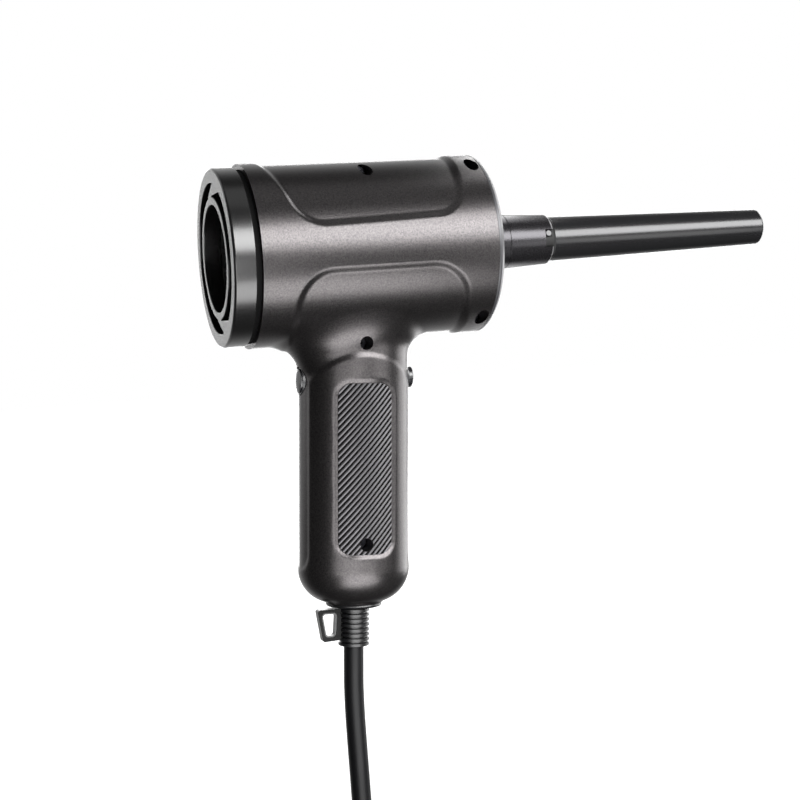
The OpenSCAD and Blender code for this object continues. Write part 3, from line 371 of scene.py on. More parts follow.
def rounded(outline, r):
    """Rounds the corners of a section, apart from those on the axis and beside short sides."""
    n, out = len(outline), []
    for i in range(n):
        a, b, c = (Vector(outline[j % n]) for j in (i - 1, i, i + 1))
        back, ahead = a - b, c - b
        short = back.length < SHORT_SIDE or ahead.length < SHORT_SIDE
        if b.y < 0.1 or short or abs(back.angle(ahead) - math.pi) < 0.2:
            out.append(tuple(b))
            continue
        size = min(r, back.length * 0.4, ahead.length * 0.4)
        start, end = b + back.normalized() * size, b + ahead.normalized() * size
        if back.length > LONG_SIDE:
            out.append(tuple(start + back.normalized() * HOLD))
        for k in range(CORNER_STEPS + 1):
            t = k / CORNER_STEPS
            out.append(tuple(start * (1 - t) ** 2 + b * 2 * t * (1 - t) + end * t * t))
        if ahead.length > LONG_SIDE:
            out.append(tuple(end + ahead.normalized() * HOLD))
    return out


def lathe(name, outline, steps=128, edge=0.0):
    """Turns (x, r) pairs about X, with corners rounded by edge."""
    outline = rounded(outline, edge) if edge else outline
    n = len(outline)
    obj = mesh_object(name, [(x, 0, r) for x, r in outline], [(i, (i + 1) % n) for i in range(n)])
    apply(obj, "SCREW", axis="X", angle=2 * math.pi, steps=steps, render_steps=steps,
          use_merge_vertices=True, merge_threshold=1e-6)
    return outward(obj)


# %% [markdown]
# The rest is boxes, bars and extruded outlines, most often a rectangle with round corners.

# %% Boxes, bars and extruded outlines
CORNER_ARC_STEPS = 8


def box(name, low, high):
    centre = [(a + b) / 2 * MM for a, b in zip(low, high)]
    bpy.ops.mesh.primitive_cube_add(size=1, location=centre)
    obj = bpy.context.object
    obj.name = name
    obj.scale = [(b - a) * MM for a, b in zip(low, high)]
    return bake(obj)


def rod(name, radius, start, end, sides=48, radius_end=None):
    """A round bar between two points, tapered if radius_end is given."""
    a, b = Vector(start) * MM, Vector(end) * MM
    bpy.ops.mesh.primitive_cone_add(vertices=sides, radius1=radius * MM, depth=(b - a).length,
                                    radius2=(radius if radius_end is None else radius_end) * MM,
                                    location=(a + b) / 2)
    obj = bpy.context.object
    obj.name = name
    obj.rotation_euler = (b - a).to_track_quat("Z", "Y").to_euler()
    return bake(obj)


def prism(name, points, move):
    """A flat outline, filled and extruded along move."""
    obj = mesh_object(name, points, faces=[tuple(range(len(points)))])
    edit(obj, lambda: bpy.ops.mesh.extrude_region_move(
        TRANSFORM_OT_translate={"value": [v * MM for v in move]}))
    return outward(obj)


def slab(name, outline, y0, y1):
    """An outline in X and Z, carried from y0 to y1."""
    return prism(name, [(x, y0, z) for x, z in outline], (0, y1 - y0, 0))


def side_slab(name, outline, side):
    return slab(name, outline, min(0, side * 40), max(0, side * 40))


def round_box(w, h, r):
    points = []
    for sx, sz, first in ((1, 1, 0), (-1, 1, 90), (-1, -1, 180), (1, -1, 270)):
        for k in range(CORNER_ARC_STEPS + 1):
            a = math.radians(first + 90 * k / CORNER_ARC_STEPS)
            points.append((sx * (w / 2 - r) + r * math.cos(a), sz * (h / 2 - r) + r * math.sin(a)))
    return points


# %% Cut and join
def cut(obj, tool, operation="DIFFERENCE", keep=False):
    """One Boolean, after which the tool is deleted unless keep is set."""
    apply(obj, "BOOLEAN", object=tool, operation=operation, solver="MANIFOLD")
    if not keep:
        bpy.data.objects.remove(tool)
    return obj


def join(name, *parts):
    select(parts[0])
    for part in parts[1:]:
        part.select_set(True)
    bpy.ops.object.join()
    parts[0].name = name
    return parts[0]


# %% [markdown]
# A finished piece sits at the origin, unturned and unscaled, so `seat` moves the mesh and not the
# object. `done` gives the finish, ties the piece to its body and hides the CAD nodes it stands for.
# `paint` gives some of the faces a second finish.

# %% Seat a piece and tie it to its body
def seat(obj, where):
    if where == "barrel":
        obj.data.transform(Matrix.Translation((BARREL_X * MM, 0, BARREL_Z * MM)))
    elif where == "handle":
        obj.data.transform(Matrix.Rotation(LEAN, 4, "Y"))
    return obj


def points_of(obj):
    co = np.empty(len(obj.data.vertices) * 3)
    obj.data.vertices.foreach_get("co", co)
    return co.reshape(-1, 3) / MM


def set_points(obj, points):
    obj.data.vertices.foreach_set("co", (points * MM).ravel())
    obj.data.update()


def done(obj, body, material, *stands_for, slot):
    obj.data.materials.clear()
    obj.data.materials.append(mats[material])
    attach(obj, body)
    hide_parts(*stands_for)
    w, d, h = np.ptp(points_of(obj), axis=0)
    print(f"{obj.name}: {w:.1f} x {d:.1f} x {h:.1f} mm, {len(obj.data.polygons)} faces, on {body}")
    return obj


def paint(obj, material, where):
    """where gets a face's middle in millimetres and its normal."""
    obj.data.materials.append(mats[material])
    for face in obj.data.polygons:
        x, y, z = (v / MM for v in face.center)
        if where(x, y, z, face.normal):
            face.material_index = 1


# %% [markdown]
# ## Cord
# A mains cord leaves the strain relief, hangs almost straight and comes to lie in a neat coil. The
# coil winds in, out, in and out again, one layer lower each time, so that no turn crosses another.
# The free stretch is a list of given points, and the coil is a formula.

# %% The free stretch
CORD_R = 4.5
RELIEF_END = -81.3
HANG_X = -8.3
COIL_R = 60.3
COIL_Y, COIL_TOP = -50.0, -200.0


def from_handle(x, y, z):
    return (x * math.cos(LEAN) + z * math.sin(LEAN), y, -x * math.sin(LEAN) + z * math.cos(LEAN))


free_route = [from_handle(0, 0, RELIEF_END), from_handle(0, 0, RELIEF_END - 9), (-7.8, 0, -100),
              (-8.2, 0, -112), (HANG_X, 0, -125), (HANG_X, 0, -140), (HANG_X, 0, -155),
              (HANG_X, -1.4, -170), (HANG_X, -7, -182), (HANG_X, -16, -191), (HANG_X, -28, -197.5),
              (HANG_X, -40, COIL_TOP), (HANG_X, COIL_Y, COIL_TOP)]

# %% The coil
TURNS, LAYERS = 9.25, 4
TURN_STEP = 9.7
LAYER_DROP = 9.6
POINTS_PER_TURN = 48
COIL_X = COIL_R + HANG_X


def smooth_step(s):
    s = min(1.0, max(0.0, s))
    return s * s * (3 - 2 * s)


def coil_point(u):
    """u counts turns from the start. Odd layers wind in and even ones wind out."""
    per = TURNS / LAYERS
    k = min(LAYERS - 1, math.floor(u / per))
    f = u / per - k
    r = COIL_R - TURN_STEP * per * (f if k % 2 == 0 else 1 - f)
    drop = sum(smooth_step((u - n * per) * 2 + 0.5) for n in range(1, LAYERS))
    a = math.pi + 2 * math.pi * u
    return (COIL_X + r * math.cos(a), COIL_Y + r * math.sin(a), COIL_TOP - LAYER_DROP * drop)


lead_y, lead_z = COIL_Y - COIL_R, COIL_TOP - (LAYERS - 1) * LAYER_DROP
PLUG_AT = Vector((106, lead_y, lead_z + 4))
coil_route = [coil_point(i / POINTS_PER_TURN) for i in range(1, int(TURNS * POINTS_PER_TURN) + 1)]
coil_route += [(62, lead_y, lead_z), (70, lead_y, lead_z + 0.5), (78, lead_y, lead_z + 1.6),
               (86, lead_y, lead_z + 3.2), (94, lead_y, lead_z + 4), tuple(PLUG_AT)]
print(f"coil: {len(coil_route)} points, {2 * (COIL_R + CORD_R):.0f} mm across")

# %% [markdown]
# A Catmull-Rom curve passes through every point of the free stretch and rounds the steps between
# them. The tube is a Blender curve with a round bevel, turned into a mesh.

# %% Sweep the cord
CORD_BEVEL_STEPS = 5


def finer(route):
    """Splits each step of a route in four with a Catmull-Rom curve."""
    p = [Vector(q) for q in route]
    p = [2 * p[0] - p[1]] + p + [2 * p[-1] - p[-2]]
    out = []
    for i in range(1, len(p) - 2):
        for k in range(4):
            t = k / 4
            out.append(0.5 * (2 * p[i] + (p[i + 1] - p[i - 1]) * t
                              + (2 * p[i - 1] - 5 * p[i] + 4 * p[i + 1] - p[i + 2]) * t * t
                              + (3 * p[i] - p[i - 1] - 3 * p[i + 1] + p[i + 2]) * t ** 3))
    out.append(p[-2])
    return out


def sweep(name, route, radius):
    curve = bpy.data.curves.new(name, "CURVE")
    curve.dimensions = "3D"
    curve.bevel_depth = radius * MM
    curve.bevel_resolution = CORD_BEVEL_STEPS
    curve.use_fill_caps = True
    curve.twist_mode = "MINIMUM"
    spline = curve.splines.new("POLY")
    spline.points.add(len(route) - 1)
    for point, place in zip(spline.points, route):
        point.co = [v * MM for v in place] + [1.0]
    select(put(name, curve))
    bpy.ops.object.convert(target="MESH")
    return smooth(outward(bpy.context.object), 40)


full_route = finer(free_route) + [Vector(p) for p in coil_route]
cord = sweep("mains_cord", full_route, CORD_R)
length = sum((b - a).length for a, b in zip(full_route, full_route[1:]))
print(f"cord: {length * MM:.2f} m along its middle")

# %% [markdown]
# ## Plug
# The plug is PVC, moulded on to the cord: a ribbed boot, a body with grooves to pull by, and two
# round pins. Boot and body are made apart, one turned and one extruded, and then fused.

# %% The plug's boot and body
BOOT_LENGTH, BOOT_GROOVES = 30, 5
BODY_LENGTH, BODY_WIDTH, BODY_HEIGHT = 36, 25, 17
PIN_Y = 9.5


def plug_boot():
    boot = lathe("plug_boot", [(0, 0.01), (0, 5.3), (1.2, 5.6), (BOOT_LENGTH, 7.1),
                               (BOOT_LENGTH + 1, 7.1), (BOOT_LENGTH + 1, 0.01)], 48)
    for k in range(BOOT_GROOVES):
        x, r = 4 + 4.6 * k, 5.0 + 0.18 * k
        cut(boot, lathe("groove", [(x, r), (x, 9), (5.6 + 4.6 * k, 9), (5.6 + 4.6 * k, r)], 48))
    return boot


def plug_body():
    outline = [(BOOT_LENGTH, y, z) for y, z in round_box(BODY_WIDTH, BODY_HEIGHT, 6)]
    return bevel(prism("plug_body", outline, (BODY_LENGTH, 0, 0)), 1.6, 3, 40)


# %% The plug with its pins
def plug_pin(y):
    pin = lathe("pin", [(58.1, 0.01), (58.1, 2.4), (83.6, 2.4), (84.6, 1.9), (85, 0.9), (85, 0.01)], 32)
    pin.data.transform(Matrix.Translation((0, y * MM, 0)))
    return smooth(pin)


def plug_pieces():
    body = plug_body()
    cut(body, plug_boot(), "UNION")
    for z in (-8.5, 8.5):
        for k in range(4):
            cut(body, box("grip", (40 + 4 * k, -9, z - 0.5), (41.6 + 4 * k, 9, z + 0.5)))
    pins = []
    for y in (-PIN_Y, PIN_Y):
        cut(body, rod("socket", 2.5, (58, y, 0), (70, y, 0)))
        pins.append(plug_pin(y))
    pins = join("mains_pins", *pins)
    body.name = "mains_plug"
    for obj in (body, pins):
        obj.data.transform(Matrix.Translation(PLUG_AT * MM))
    return smooth(body), pins


plug, pins = plug_pieces()
done(cord, "housing", "cord", "cord", "cord_coil", slot="cord_rubber")
done(plug, "housing", "rubber", "plug", slot="cord_rubber")
done(pins, "housing", "nickel", "plug_pins", slot="pins")

# %% [markdown]
# ## Shells
# The housing is a clamshell. Where barrel and handle meet, the surface rolls from one into the
# other, and shallow panels are sunk into it. Such a skin is hard to build from patches but easy to
# describe by a signed distance, a formula that is negative inside and positive outside. Two forms
# are blended by a formula too.

# %% Ways to combine distances
def ramp(d, width):
    """0 outside a region, 1 inside, and smooth across its edge."""
    s = np.clip(0.5 - d / width, 0, 1)
    return s * s * (3 - 2 * s)


def meet(a, b, r):
    """Both regions at once, with a corner of radius r."""
    return np.minimum(-r, np.maximum(a, b)) + np.hypot(np.maximum(a + r, 0), np.maximum(b + r, 0))


def fillet(a, b, r):
    """Either region, with a rolling blend of radius r."""
    return np.maximum(r, np.minimum(a, b)) - np.hypot(np.maximum(r - a, 0), np.maximum(r - b, 0))


def line(x, z, ax, az, bx, bz):
    """Distance from a straight line, positive on its left."""
    length = math.hypot(bx - ax, bz - az)
    return ((bx - ax) * (z - az) - (bz - az) * (x - ax)) / length


# %% [markdown]
# The barrel is a cylinder with two panels on each side: the upper one leans at both ends, and the
# lower one flows down into the handle. Inside a panel the radius shrinks by about a millimetre.

# %% The barrel's surface
BARREL_R = 40.5
REAR, FRONT = -51.2, 54.5
UPPER_DEPTH, LOWER_DEPTH = 1.2, 1.1


def upper_panel(x, z):
    rear = line(x, z, -33.2, 9.2, -44.4, 40.0)
    bottom = (9.0 + (x + 29.8) * 0.029) - z
    front = (x - 39.9 - 0.17 * (z - 12.0)) * 0.986
    return meet(meet(rear, bottom, 11.0), front, 11.0)


def lower_panel(x, z):
    front = (x - 40.3 + 0.14 * (z + 8.2)) * 0.99
    return meet(meet(-36.8 - x, z + 8.2, 17.0), front, 16.0)


def barrel_distance(p):
    x, y, z = p[:, 0] - BARREL_X, p[:, 1], p[:, 2] - BARREL_Z
    depth = UPPER_DEPTH * ramp(upper_panel(x, z) + 1.2, 3.0)
    depth += LOWER_DEPTH * ramp(lower_panel(x, z) + 1.4, 3.4)
    return np.hypot(y, z) - (BARREL_R - depth)


# %% [markdown]
# The handle is an oval bar with a round lower end. On each side a raised field, round at the top,
# frames the ridged inlay, and plain strips stay in front and at the rear for the buttons. A foot at
# the bottom takes the strain relief.

# %% The handle's surface
GRIP_R, GRIP_HALF_Y = 25.5, 21.0
OVAL = GRIP_R / GRIP_HALF_Y
SKIN_R = 25.05
FIELD_LIFT = 0.5
STRIP_HALF = 7.5
BASE_Z, BASE_R = -61.5, 16.0
BEZEL_HALF_X, BEZEL_HALF_Z, BEZEL_R, BEZEL_SINK = 14.3, 39.7, 8.0, 0.95
FOOT_R = 12.8


def bezel_distance(x, z):
    """The round rectangle round the inlay, in side view."""
    ax, az = np.abs(x) - (BEZEL_HALF_X - BEZEL_R), np.abs(z - 0.15) - (BEZEL_HALF_Z - BEZEL_R)
    return np.minimum(np.maximum(ax, az), 0) + np.hypot(np.maximum(ax, 0), np.maximum(az, 0)) - BEZEL_R


def handle_distance(p):
    x = p[:, 0] * math.cos(LEAN) - p[:, 2] * math.sin(LEAN)
    z = p[:, 0] * math.sin(LEAN) + p[:, 2] * math.cos(LEAN)
    y = p[:, 1]
    arch = np.hypot(x, np.maximum(0, z - 21.0)) - 30.0
    strip = np.hypot(y, np.minimum(0, z + 38.0)) - STRIP_HALF
    lift = FIELD_LIFT * ramp(np.maximum(arch, -strip) + 0.6, 2.4)
    sink = BEZEL_SINK * np.clip(-bezel_distance(x, z) / 1.9, 0, 1)
    rho = np.hypot(x, y * OVAL)
    scale = rho / np.maximum(np.hypot(x, y * OVAL * OVAL), 1e-6)
    body = meet(rho - (SKIN_R + lift - sink), BASE_Z - z, BASE_R) * scale
    foot = meet(np.hypot(x, y) - FOOT_R, np.maximum(BASE_Z - z, z + 50.0), 0.6)
    return np.maximum(fillet(body, foot, 1.2), z - 85.0), x, y


# %% The whole form
BLEND_R, BLEND_FRONT, BLEND_REAR = 9.0, 1.0, 7.0


def form_distance(p):
    """The blend is widest at the rear of the handle."""
    handle, x, y = handle_distance(p)
    c = x / np.maximum(np.hypot(x, y), 1e-6)
    r = BLEND_R + np.where(x > 0, BLEND_FRONT, BLEND_REAR) * c * c
    return fillet(barrel_distance(p), handle, r)


# %% [markdown]
# The mesh starts as a cylinder fused with an oval bar. A voxel remesh gives it even, square faces,
# and then every point walks along the slope of the distance until it lies on the surface. That is
# done twice, coarse and fine, so that no face is stretched.

# %% Draw a mesh on to a surface
FACE_MM = 0.72
SLOPE_STEP = 0.02


def draw_onto(obj, distance, rounds, reach=3.0):
    p = points_of(obj)
    for _ in range(rounds):
        d = distance(p)
        slope = [(distance(p + SLOPE_STEP * e) - distance(p - SLOPE_STEP * e)) / (2 * SLOPE_STEP)
                 for e in np.eye(3)]
        g = np.stack(slope, 1)
        g /= np.maximum((g * g).sum(1, keepdims=True), 0.25)
        p = p - np.clip(d[:, None] * g, -reach, reach)
    set_points(obj, p)
    return obj


def plane_cut(obj, place, normal):
    """Keeps what lies behind the plane and closes it."""
    return edit(obj, lambda: bpy.ops.mesh.bisect(plane_co=[v * MM for v in place], plane_no=normal,
                                                 use_fill=True, clear_outer=True))


def squeezed(part, ratio):
    """Makes a round bar oval and leans it as the handle leans."""
    part.scale = (1, ratio, 1)
    return seat(bake(part), "handle")


def barrel_rod(name, radius, past):
    return rod(name, radius, (BARREL_X + REAR - past, 0, BARREL_Z),
               (BARREL_X + FRONT + past, 0, BARREL_Z), 96)


# %% The outer form
def outer_form():
    form = barrel_rod("outer_form", BARREL_R, 4)
    cut(form, squeezed(rod("grip", 25.0, (0, 0, -50), (0, 0, 80), 64), 0.82), "UNION")
    cut(form, squeezed(rod("base", 13.0, (0, 0, BASE_Z), (0, 0, -49.9), 64, 25.0), 0.82), "UNION")
    apply(form, "REMESH", mode="VOXEL", voxel_size=2.0 * MM)
    draw_onto(form, form_distance, 4)
    apply(form, "REMESH", mode="VOXEL", voxel_size=FACE_MM * MM)
    draw_onto(form, form_distance, 4, 1.0)
    plane_cut(form, (BARREL_X + REAR, 0, 0), (-1, 0, 0))
    plane_cut(form, (BARREL_X + FRONT, 0, 0), (1, 0, 0))
    return form


form = outer_form()
miss = np.abs(form_distance(points_of(form)))
print(f"form: {len(form.data.vertices)} points, most within {np.percentile(miss, 90):.4f} mm")

# %% [markdown]
# Each half is the form cut at the middle plane and hollowed. Screws join them: the right one has
# deep wells with a hole in the floor, the left one has pilot holes, and both have bosses round
# them. Openings are left for the buttons and the cord.

# %% Wells and hollow
WELLS = [("barrel", 2.4, 34.0), ("barrel", 51.1, 34.0), ("barrel", 51.1, -34.0),
         ("handle", 0.0, 55.4), ("handle", 0.0, -33.3)]
WELL_R, BOSS_R, SCREW_HOLE_R, PILOT_R = 3.0, 4.3, 1.6, 1.2
REAR_BUTTON_Z, FRONT_BUTTON_Z = 38.5, 40.2
HOLLOW_R, HOLLOW_GRIP_R, HOLLOW_HALF_Y = 38.1, 22.3, 17.8


def well_rods(radius, y0, y1, sides=48):
    return [seat(rod("well", radius, (x, y0, z), (x, y1, z), sides), where) for where, x, z in WELLS]


def hollow_form(past):
    tube = barrel_rod("hollow", HOLLOW_R, past)
    ratio = HOLLOW_HALF_Y / HOLLOW_GRIP_R
    bar = squeezed(rod("bar", HOLLOW_GRIP_R, (0, 0, -45.5), (0, 0, 70), 64), ratio)
    tip = squeezed(rod("tip", 11.0, (0, 0, -59.1), (0, 0, -45.4), 64, HOLLOW_GRIP_R), ratio)
    cut(tube, bar, "UNION")
    return cut(tube, tip, "UNION")


# %% Screw bosses and openings
def add_bosses(half, side):
    inner = hollow_form(0)
    reach = (0.0, 41) if side > 0 else (-41, 0.0)
    for boss in well_rods(BOSS_R, *reach):
        cut(boss, inner, "INTERSECT", keep=True)
        cut(half, boss, "UNION")
    bpy.data.objects.remove(inner)


def drill(half, side):
    if side > 0:
        holes = well_rods(PILOT_R, -1, 10, 24)
    else:
        holes = well_rods(WELL_R, -60, -8) + well_rods(SCREW_HOLE_R, -20, 1, 24)
    for hole in holes:
        cut(half, hole)
    for x0, x1, z, r in ((-40, -16, REAR_BUTTON_Z, 6.5), (16, 40, FRONT_BUTTON_Z, 5.9)):
        cut(half, seat(rod("passage", r, (x0, 0, z), (x1, 0, z), 64), "handle"))
    cut(half, seat(rod("passage", 8.0, (0, 0, -70), (0, 0, -50), 64), "handle"))


def sink_pocket(half, side):
    """The pocket of the ridged inlay. Its floor follows the handle's oval."""
    pocket = side_slab("pocket", round_box(24.8, 75.7, 6.1), side)
    core = rod("core", 24.0, (0, 0, -70), (0, 0, 60), 96)
    core.scale = (1, 19.5 / 24.0, 1)
    cut(pocket, bake(core))
    cut(half, seat(pocket, "handle"))


# %% The two shells
def shell(side, name):
    half = put(name, form.data.copy())
    plane_cut(half, (0, 0, 0), (0, -side, 0))
    cut(half, hollow_form(5))
    add_bosses(half, side)
    drill(half, side)
    sink_pocket(half, side)
    return smooth(half, 30)


for side, name in ((-1, "right"), (1, "left")):
    done(shell(side, name + "_shell_skin"), "housing", "shell", name + "_shell", slot="shell")
bpy.data.objects.remove(form)

# %% [markdown]
# ## Intake cover
# The fan draws its air through a deep ring that pulls off to clean the filter. An inner ring on two
# webs leaves a round middle and two crescents open. The rings are turned, and each web is a flat
# outline, trimmed round so that it fits the ring.

# %% The cover
COVER_FACE = -63.2
COVER_R, COVER_OPEN_R, COVER_DEPTH = 39.2, 33.0, 9.5
INNER_R, INNER_BORE_R = 26.7, 23.6
WEB = [(3.5, 26.0), (3.5, 27.2), (-6.6, 32.3), (-8, 34.8), (-20, 34.8), (-20, 27.2), (-3, 27.2),
       (-3, 26.0)]


def cover_rings():
    face, neck_r, neck_end = COVER_FACE, 38.0, COVER_FACE + 16.2
    ring = lathe("intake_ring", [
        (face, COVER_OPEN_R), (face, 38.5), (face + 0.7, COVER_R), (face + COVER_DEPTH, COVER_R),
        (face + COVER_DEPTH, neck_r), (neck_end, neck_r), (neck_end, 36.0), (face + 3, 36.0),
        (face + 3, COVER_OPEN_R)], 192, edge=0.35)
    inner = lathe("inner_ring", [(face, INNER_BORE_R), (face, INNER_R), (face + 7.9, INNER_R),
                                 (face + 7.9, INNER_BORE_R)], 160, edge=0.35)
    return ring, inner


def intake_cover():
    ring, inner = cover_rings()
    webs = []
    for s in (-1, 1):
        flat = prism("web", [(COVER_FACE, y, s * z) for y, z in WEB], (3, 0, 0))
        limit = rod("limit", 33.4, (COVER_FACE - 1, 0, 0), (COVER_FACE + 4, 0, 0), 128)
        webs.append(cut(flat, limit, "INTERSECT"))
    for web in webs:
        cut(inner, web, "UNION")
    cut(ring, inner, "UNION")
    return seat(smooth(ring, 30), "barrel")


cover = intake_cover()
done(cover, "intake_cover", "gloss", "intake_cover", slot="gloss")

# %% [markdown]
# Between cover and barrel runs a narrow groove. Its bottom, the cover's neck, gets the near-black
# painted shade, so the groove reads as black.

# %% The groove behind the cover
paint(cover, "groove", lambda x, y, z, normal: x - BARREL_X > COVER_FACE + COVER_DEPTH + 0.05)

# %% [markdown]
# ## Outlet
# The front cap closes the barrel with a light rim and a short neck that carries the collar. A lug
# on the nozzle enters the collar's notch and turns, as in a bayonet. All of it is turned, and only
# the notch is cut and the lug added afterwards.

# %% The front cap
def front_cap():
    rim = lathe("front_rim", [
        (45.5, 25.4), (45.5, 27.0), (FRONT, 27.0), (FRONT, BARREL_R), (55.8, BARREL_R), (57.4, 38.9),
        (57.4, 12.6), (72.0, 12.6), (72.0, 10.1), (78.1, 10.1), (78.1, 7.6), (60.4, 7.6),
        (56.5, 9.0)], 192, edge=0.3)
    return seat(smooth(rim), "barrel")


cap = front_cap()
done(cap, "housing", "cap", "front_cap", slot="cap")
paint(cap, "collar", lambda x, y, z, normal: x - BARREL_X > 57.5)

# %% The collar and its notch
NOTCH_X, NOTCH_TOP, NOTCH_BOTTOM = 89.7, 4.1, -3.8


def collar():
    """The notch's lower wall slopes down outwards, so that it shows from the side."""
    sleeve = lathe("collar_sleeve", [(72.05, 10.2), (72.05, 12.6), (93.2, 11.6), (94.2, 10.9),
                                     (94.2, 10.2)], 160, edge=0.25)
    outline = [(0, NOTCH_TOP), (-20, NOTCH_TOP), (-20, -8.2), (-10.3, NOTCH_BOTTOM), (0, NOTCH_BOTTOM)]
    cut(sleeve, prism("notch", [(NOTCH_X, y, z) for y, z in outline], (6.3, 0, 0)))
    return seat(smooth(sleeve), "barrel")


def gets_notch_shade(x, y, z, normal):
    near = x - BARREL_X > NOTCH_X - 0.1 and y < 0 and -5.2 < z - BARREL_Z < NOTCH_TOP + 0.1
    return near and abs(normal.z) > 0.85


sleeve = collar()
done(sleeve, "housing", "collar", "outlet_collar", slot="collar")
# The notch's level walls get near-black painted shade.
paint(sleeve, "groove", gets_notch_shade)

# %% [markdown]
# The nozzle squeezes the air to a thin stream. It is one turned piece: a matt spigot with a groove
# for the seal ring, a small shoulder, the long taper and a rounded mouth.

# %% The nozzle
SPIGOT_R, SPIGOT_END = 10.1, 95.3
TIP_X = 208.0
LUG_TURN = math.radians(11.2)


def nozzle():
    tube = lathe("nozzle_skin", [
        (78.4, 7.6), (78.4, 9.5), (79.0, SPIGOT_R), (82.3, SPIGOT_R), (82.3, 8.7), (83.9, 8.7),
        (83.9, SPIGOT_R), (94.4, SPIGOT_R), (95.2, 10.4), (206.9, 8.52), (207.7, 8.2), (TIP_X, 7.6),
        (TIP_X, 7.2), (207.6, 6.9), (198.0, 6.9), (102.2, 8.7), (94.2, 7.6)], 160, edge=0.2)
    lug = rod("lug", 1.4, (91.3, -9.5, 0), (91.3, -11.7, 0), 40)
    bevel(lug, 0.25, 2, 40)
    lug.data.transform(Matrix.Rotation(-LUG_TURN, 4, "X"))
    cut(tube, lug, "UNION")
    return seat(smooth(tube), "barrel")


tube = nozzle()
done(tube, "nozzle", "tube", "nozzle_tube", slot="gloss")
# The spigot gets near-black painted shade, where it lies in the notch's shadow.
paint(tube, "spigot", lambda x, y, z, normal: x - BARREL_X < SPIGOT_END
      and math.hypot(y, z - BARREL_Z) < SPIGOT_R + 0.32)

# %% [markdown]
# ## Grip inlays
# A thin rubber skin with slanted ridges keeps wet fingers from slipping. Ridges cut by Booleans
# would be slow and ragged, so a fine grid is laid on the handle's oval and its points are sunk by a
# formula. Then it gets its thickness and is trimmed to its outline.

# %% Press the ridges
INLAY_W, INLAY_H, INLAY_R = 24.6, 75.5, 6.0
SLANT = math.radians(48)
RIDGE_PITCH = 2.75
GROOVE_DEPTH = 0.75
INLAY_SINK = 0.5
INLAY_T = 0.25


def ridge_depth(x, z):
    """Depth under the handle's oval: least on a ridge's back, most in a groove."""
    across = z * math.cos(SLANT) - x * math.sin(SLANT)
    wave = np.abs((across / (RIDGE_PITCH * math.cos(SLANT))) % 1.0 - 0.5) * 2
    ridge = np.clip((wave - 0.50) / 0.26, 0, 1)
    return INLAY_SINK + GROOVE_DEPTH * (1 - ridge * ridge * (3 - 2 * ridge))


def ridged_grid(side, name):
    nx, nz = ((124, 380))
    bpy.ops.mesh.primitive_grid_add(x_subdivisions=nx, y_subdivisions=nz, size=1)
    skin = bpy.context.object
    skin.name = name
    p = points_of(skin) * MM
    x, z = p[:, 0] * INLAY_W, p[:, 1] * INLAY_H
    y = side * np.sqrt(np.maximum((GRIP_R - ridge_depth(x, z)) ** 2 - x * x, 1)) / OVAL
    set_points(skin, np.stack([x, y, z], 1))
    return skin


# %% Trim the inlays
def grip_inlay(side, name):
    skin = ridged_grid(side, name)
    apply(skin, "SOLIDIFY", thickness=INLAY_T * MM, offset=-1.0 if side > 0 else 1.0)
    limit = side_slab("limit", round_box(INLAY_W, INLAY_H, INLAY_R), side)
    cut(outward(skin), limit, "INTERSECT")
    if side < 0:
        x, z = WELLS[-1][1:]
        cut(skin, rod("hole", WELL_R, (x, -40, z), (x, 0, z), 48))
    return seat(smooth(skin, 50), "handle")


def gets_groove_shade(x, y, z, normal):
    along = x * math.cos(LEAN) - z * math.sin(LEAN)
    return GRIP_R - math.hypot(along, y * OVAL) > 0.72


for side, name in ((-1, "right"), (1, "left")):
    inlay = grip_inlay(side, name + "_inlay_skin")
    done(inlay, "housing", "grip", name + "_grip_inlay", slot="grip_rubber")
    # Faces deep in the grooves get near-black painted shade.
    paint(inlay, "groove", gets_groove_shade)

# %% [markdown]
# ## Buttons
# One button is under the forefinger and one under the thumb. Each is a low dome in a thin ring, with
# a flange inside that keeps it in. The dome is a slice of a ball, whose radius follows from its
# width and height. A mirror turns a mesh inside out, so the front button's normals are made again.

# %% Ring and dome
RING_FACE, RING_END = -25.0, -20.9
DOME = 0.8


def button_section(radius, top):
    curve = (radius * radius + DOME * DOME) / (2 * DOME)
    radii = (0.01, radius * 0.3, radius * 0.55, radius * 0.75, radius * 0.9)
    section = [(top + curve - math.sqrt(curve * curve - r * r), r) for r in radii]
    return section + [(top + DOME + 0.05, radius - 0.1), (top + DOME + 0.3, radius), (-20.7, radius),
                      (-20.7, radius + 0.7), (-19.9, radius + 0.7), (-19.9, 2.0), (-16.0, 2.0),
                      (-16.0, 0.01)]


def button_pair(name, radius, height, out, mirror):
    ring = lathe(name + "_bezel", [(RING_FACE, radius + 0.1), (RING_FACE, radius + 0.7),
                                   (RING_END, radius + 0.7), (RING_END, radius + 0.1)], 96)
    bevel(ring, 0.2, 2)
    button = smooth(lathe(name + "_cap", button_section(radius, -24.7 - out), 96), 40)
    for obj in (ring, button):
        if mirror:
            obj.data.transform(Matrix.Scale(-1, 4, (1, 0, 0)))
            outward(obj)
        obj.data.transform(Matrix.Translation((0, 0, height * MM)))
        seat(obj, "handle")
    return ring, button


# %% Both buttons
for name, body, radius, z, out, mirror in (
        ("rear_button", "speed_button", 5.4, REAR_BUTTON_Z, 1.9, False),
        ("front_button", "power_button", 4.8, FRONT_BUTTON_Z, 3.1, True)):
    ring, button = button_pair(name, radius, z, out, mirror)
    done(ring, "housing", "trim", name + "_ring", slot="trim")
    done(button, body, "button", body, slot="button")

# %% [markdown]
# ## Strain relief
# A ribbed boot lets the cord bend in a wide curve, so that it doesn't break at one spot. Boot and
# flange are turned, with ribs made by a loop. The loop to hang the tool up by is a plate with a
# hole, and a wider, shallower hole on each face leaves a raised border.

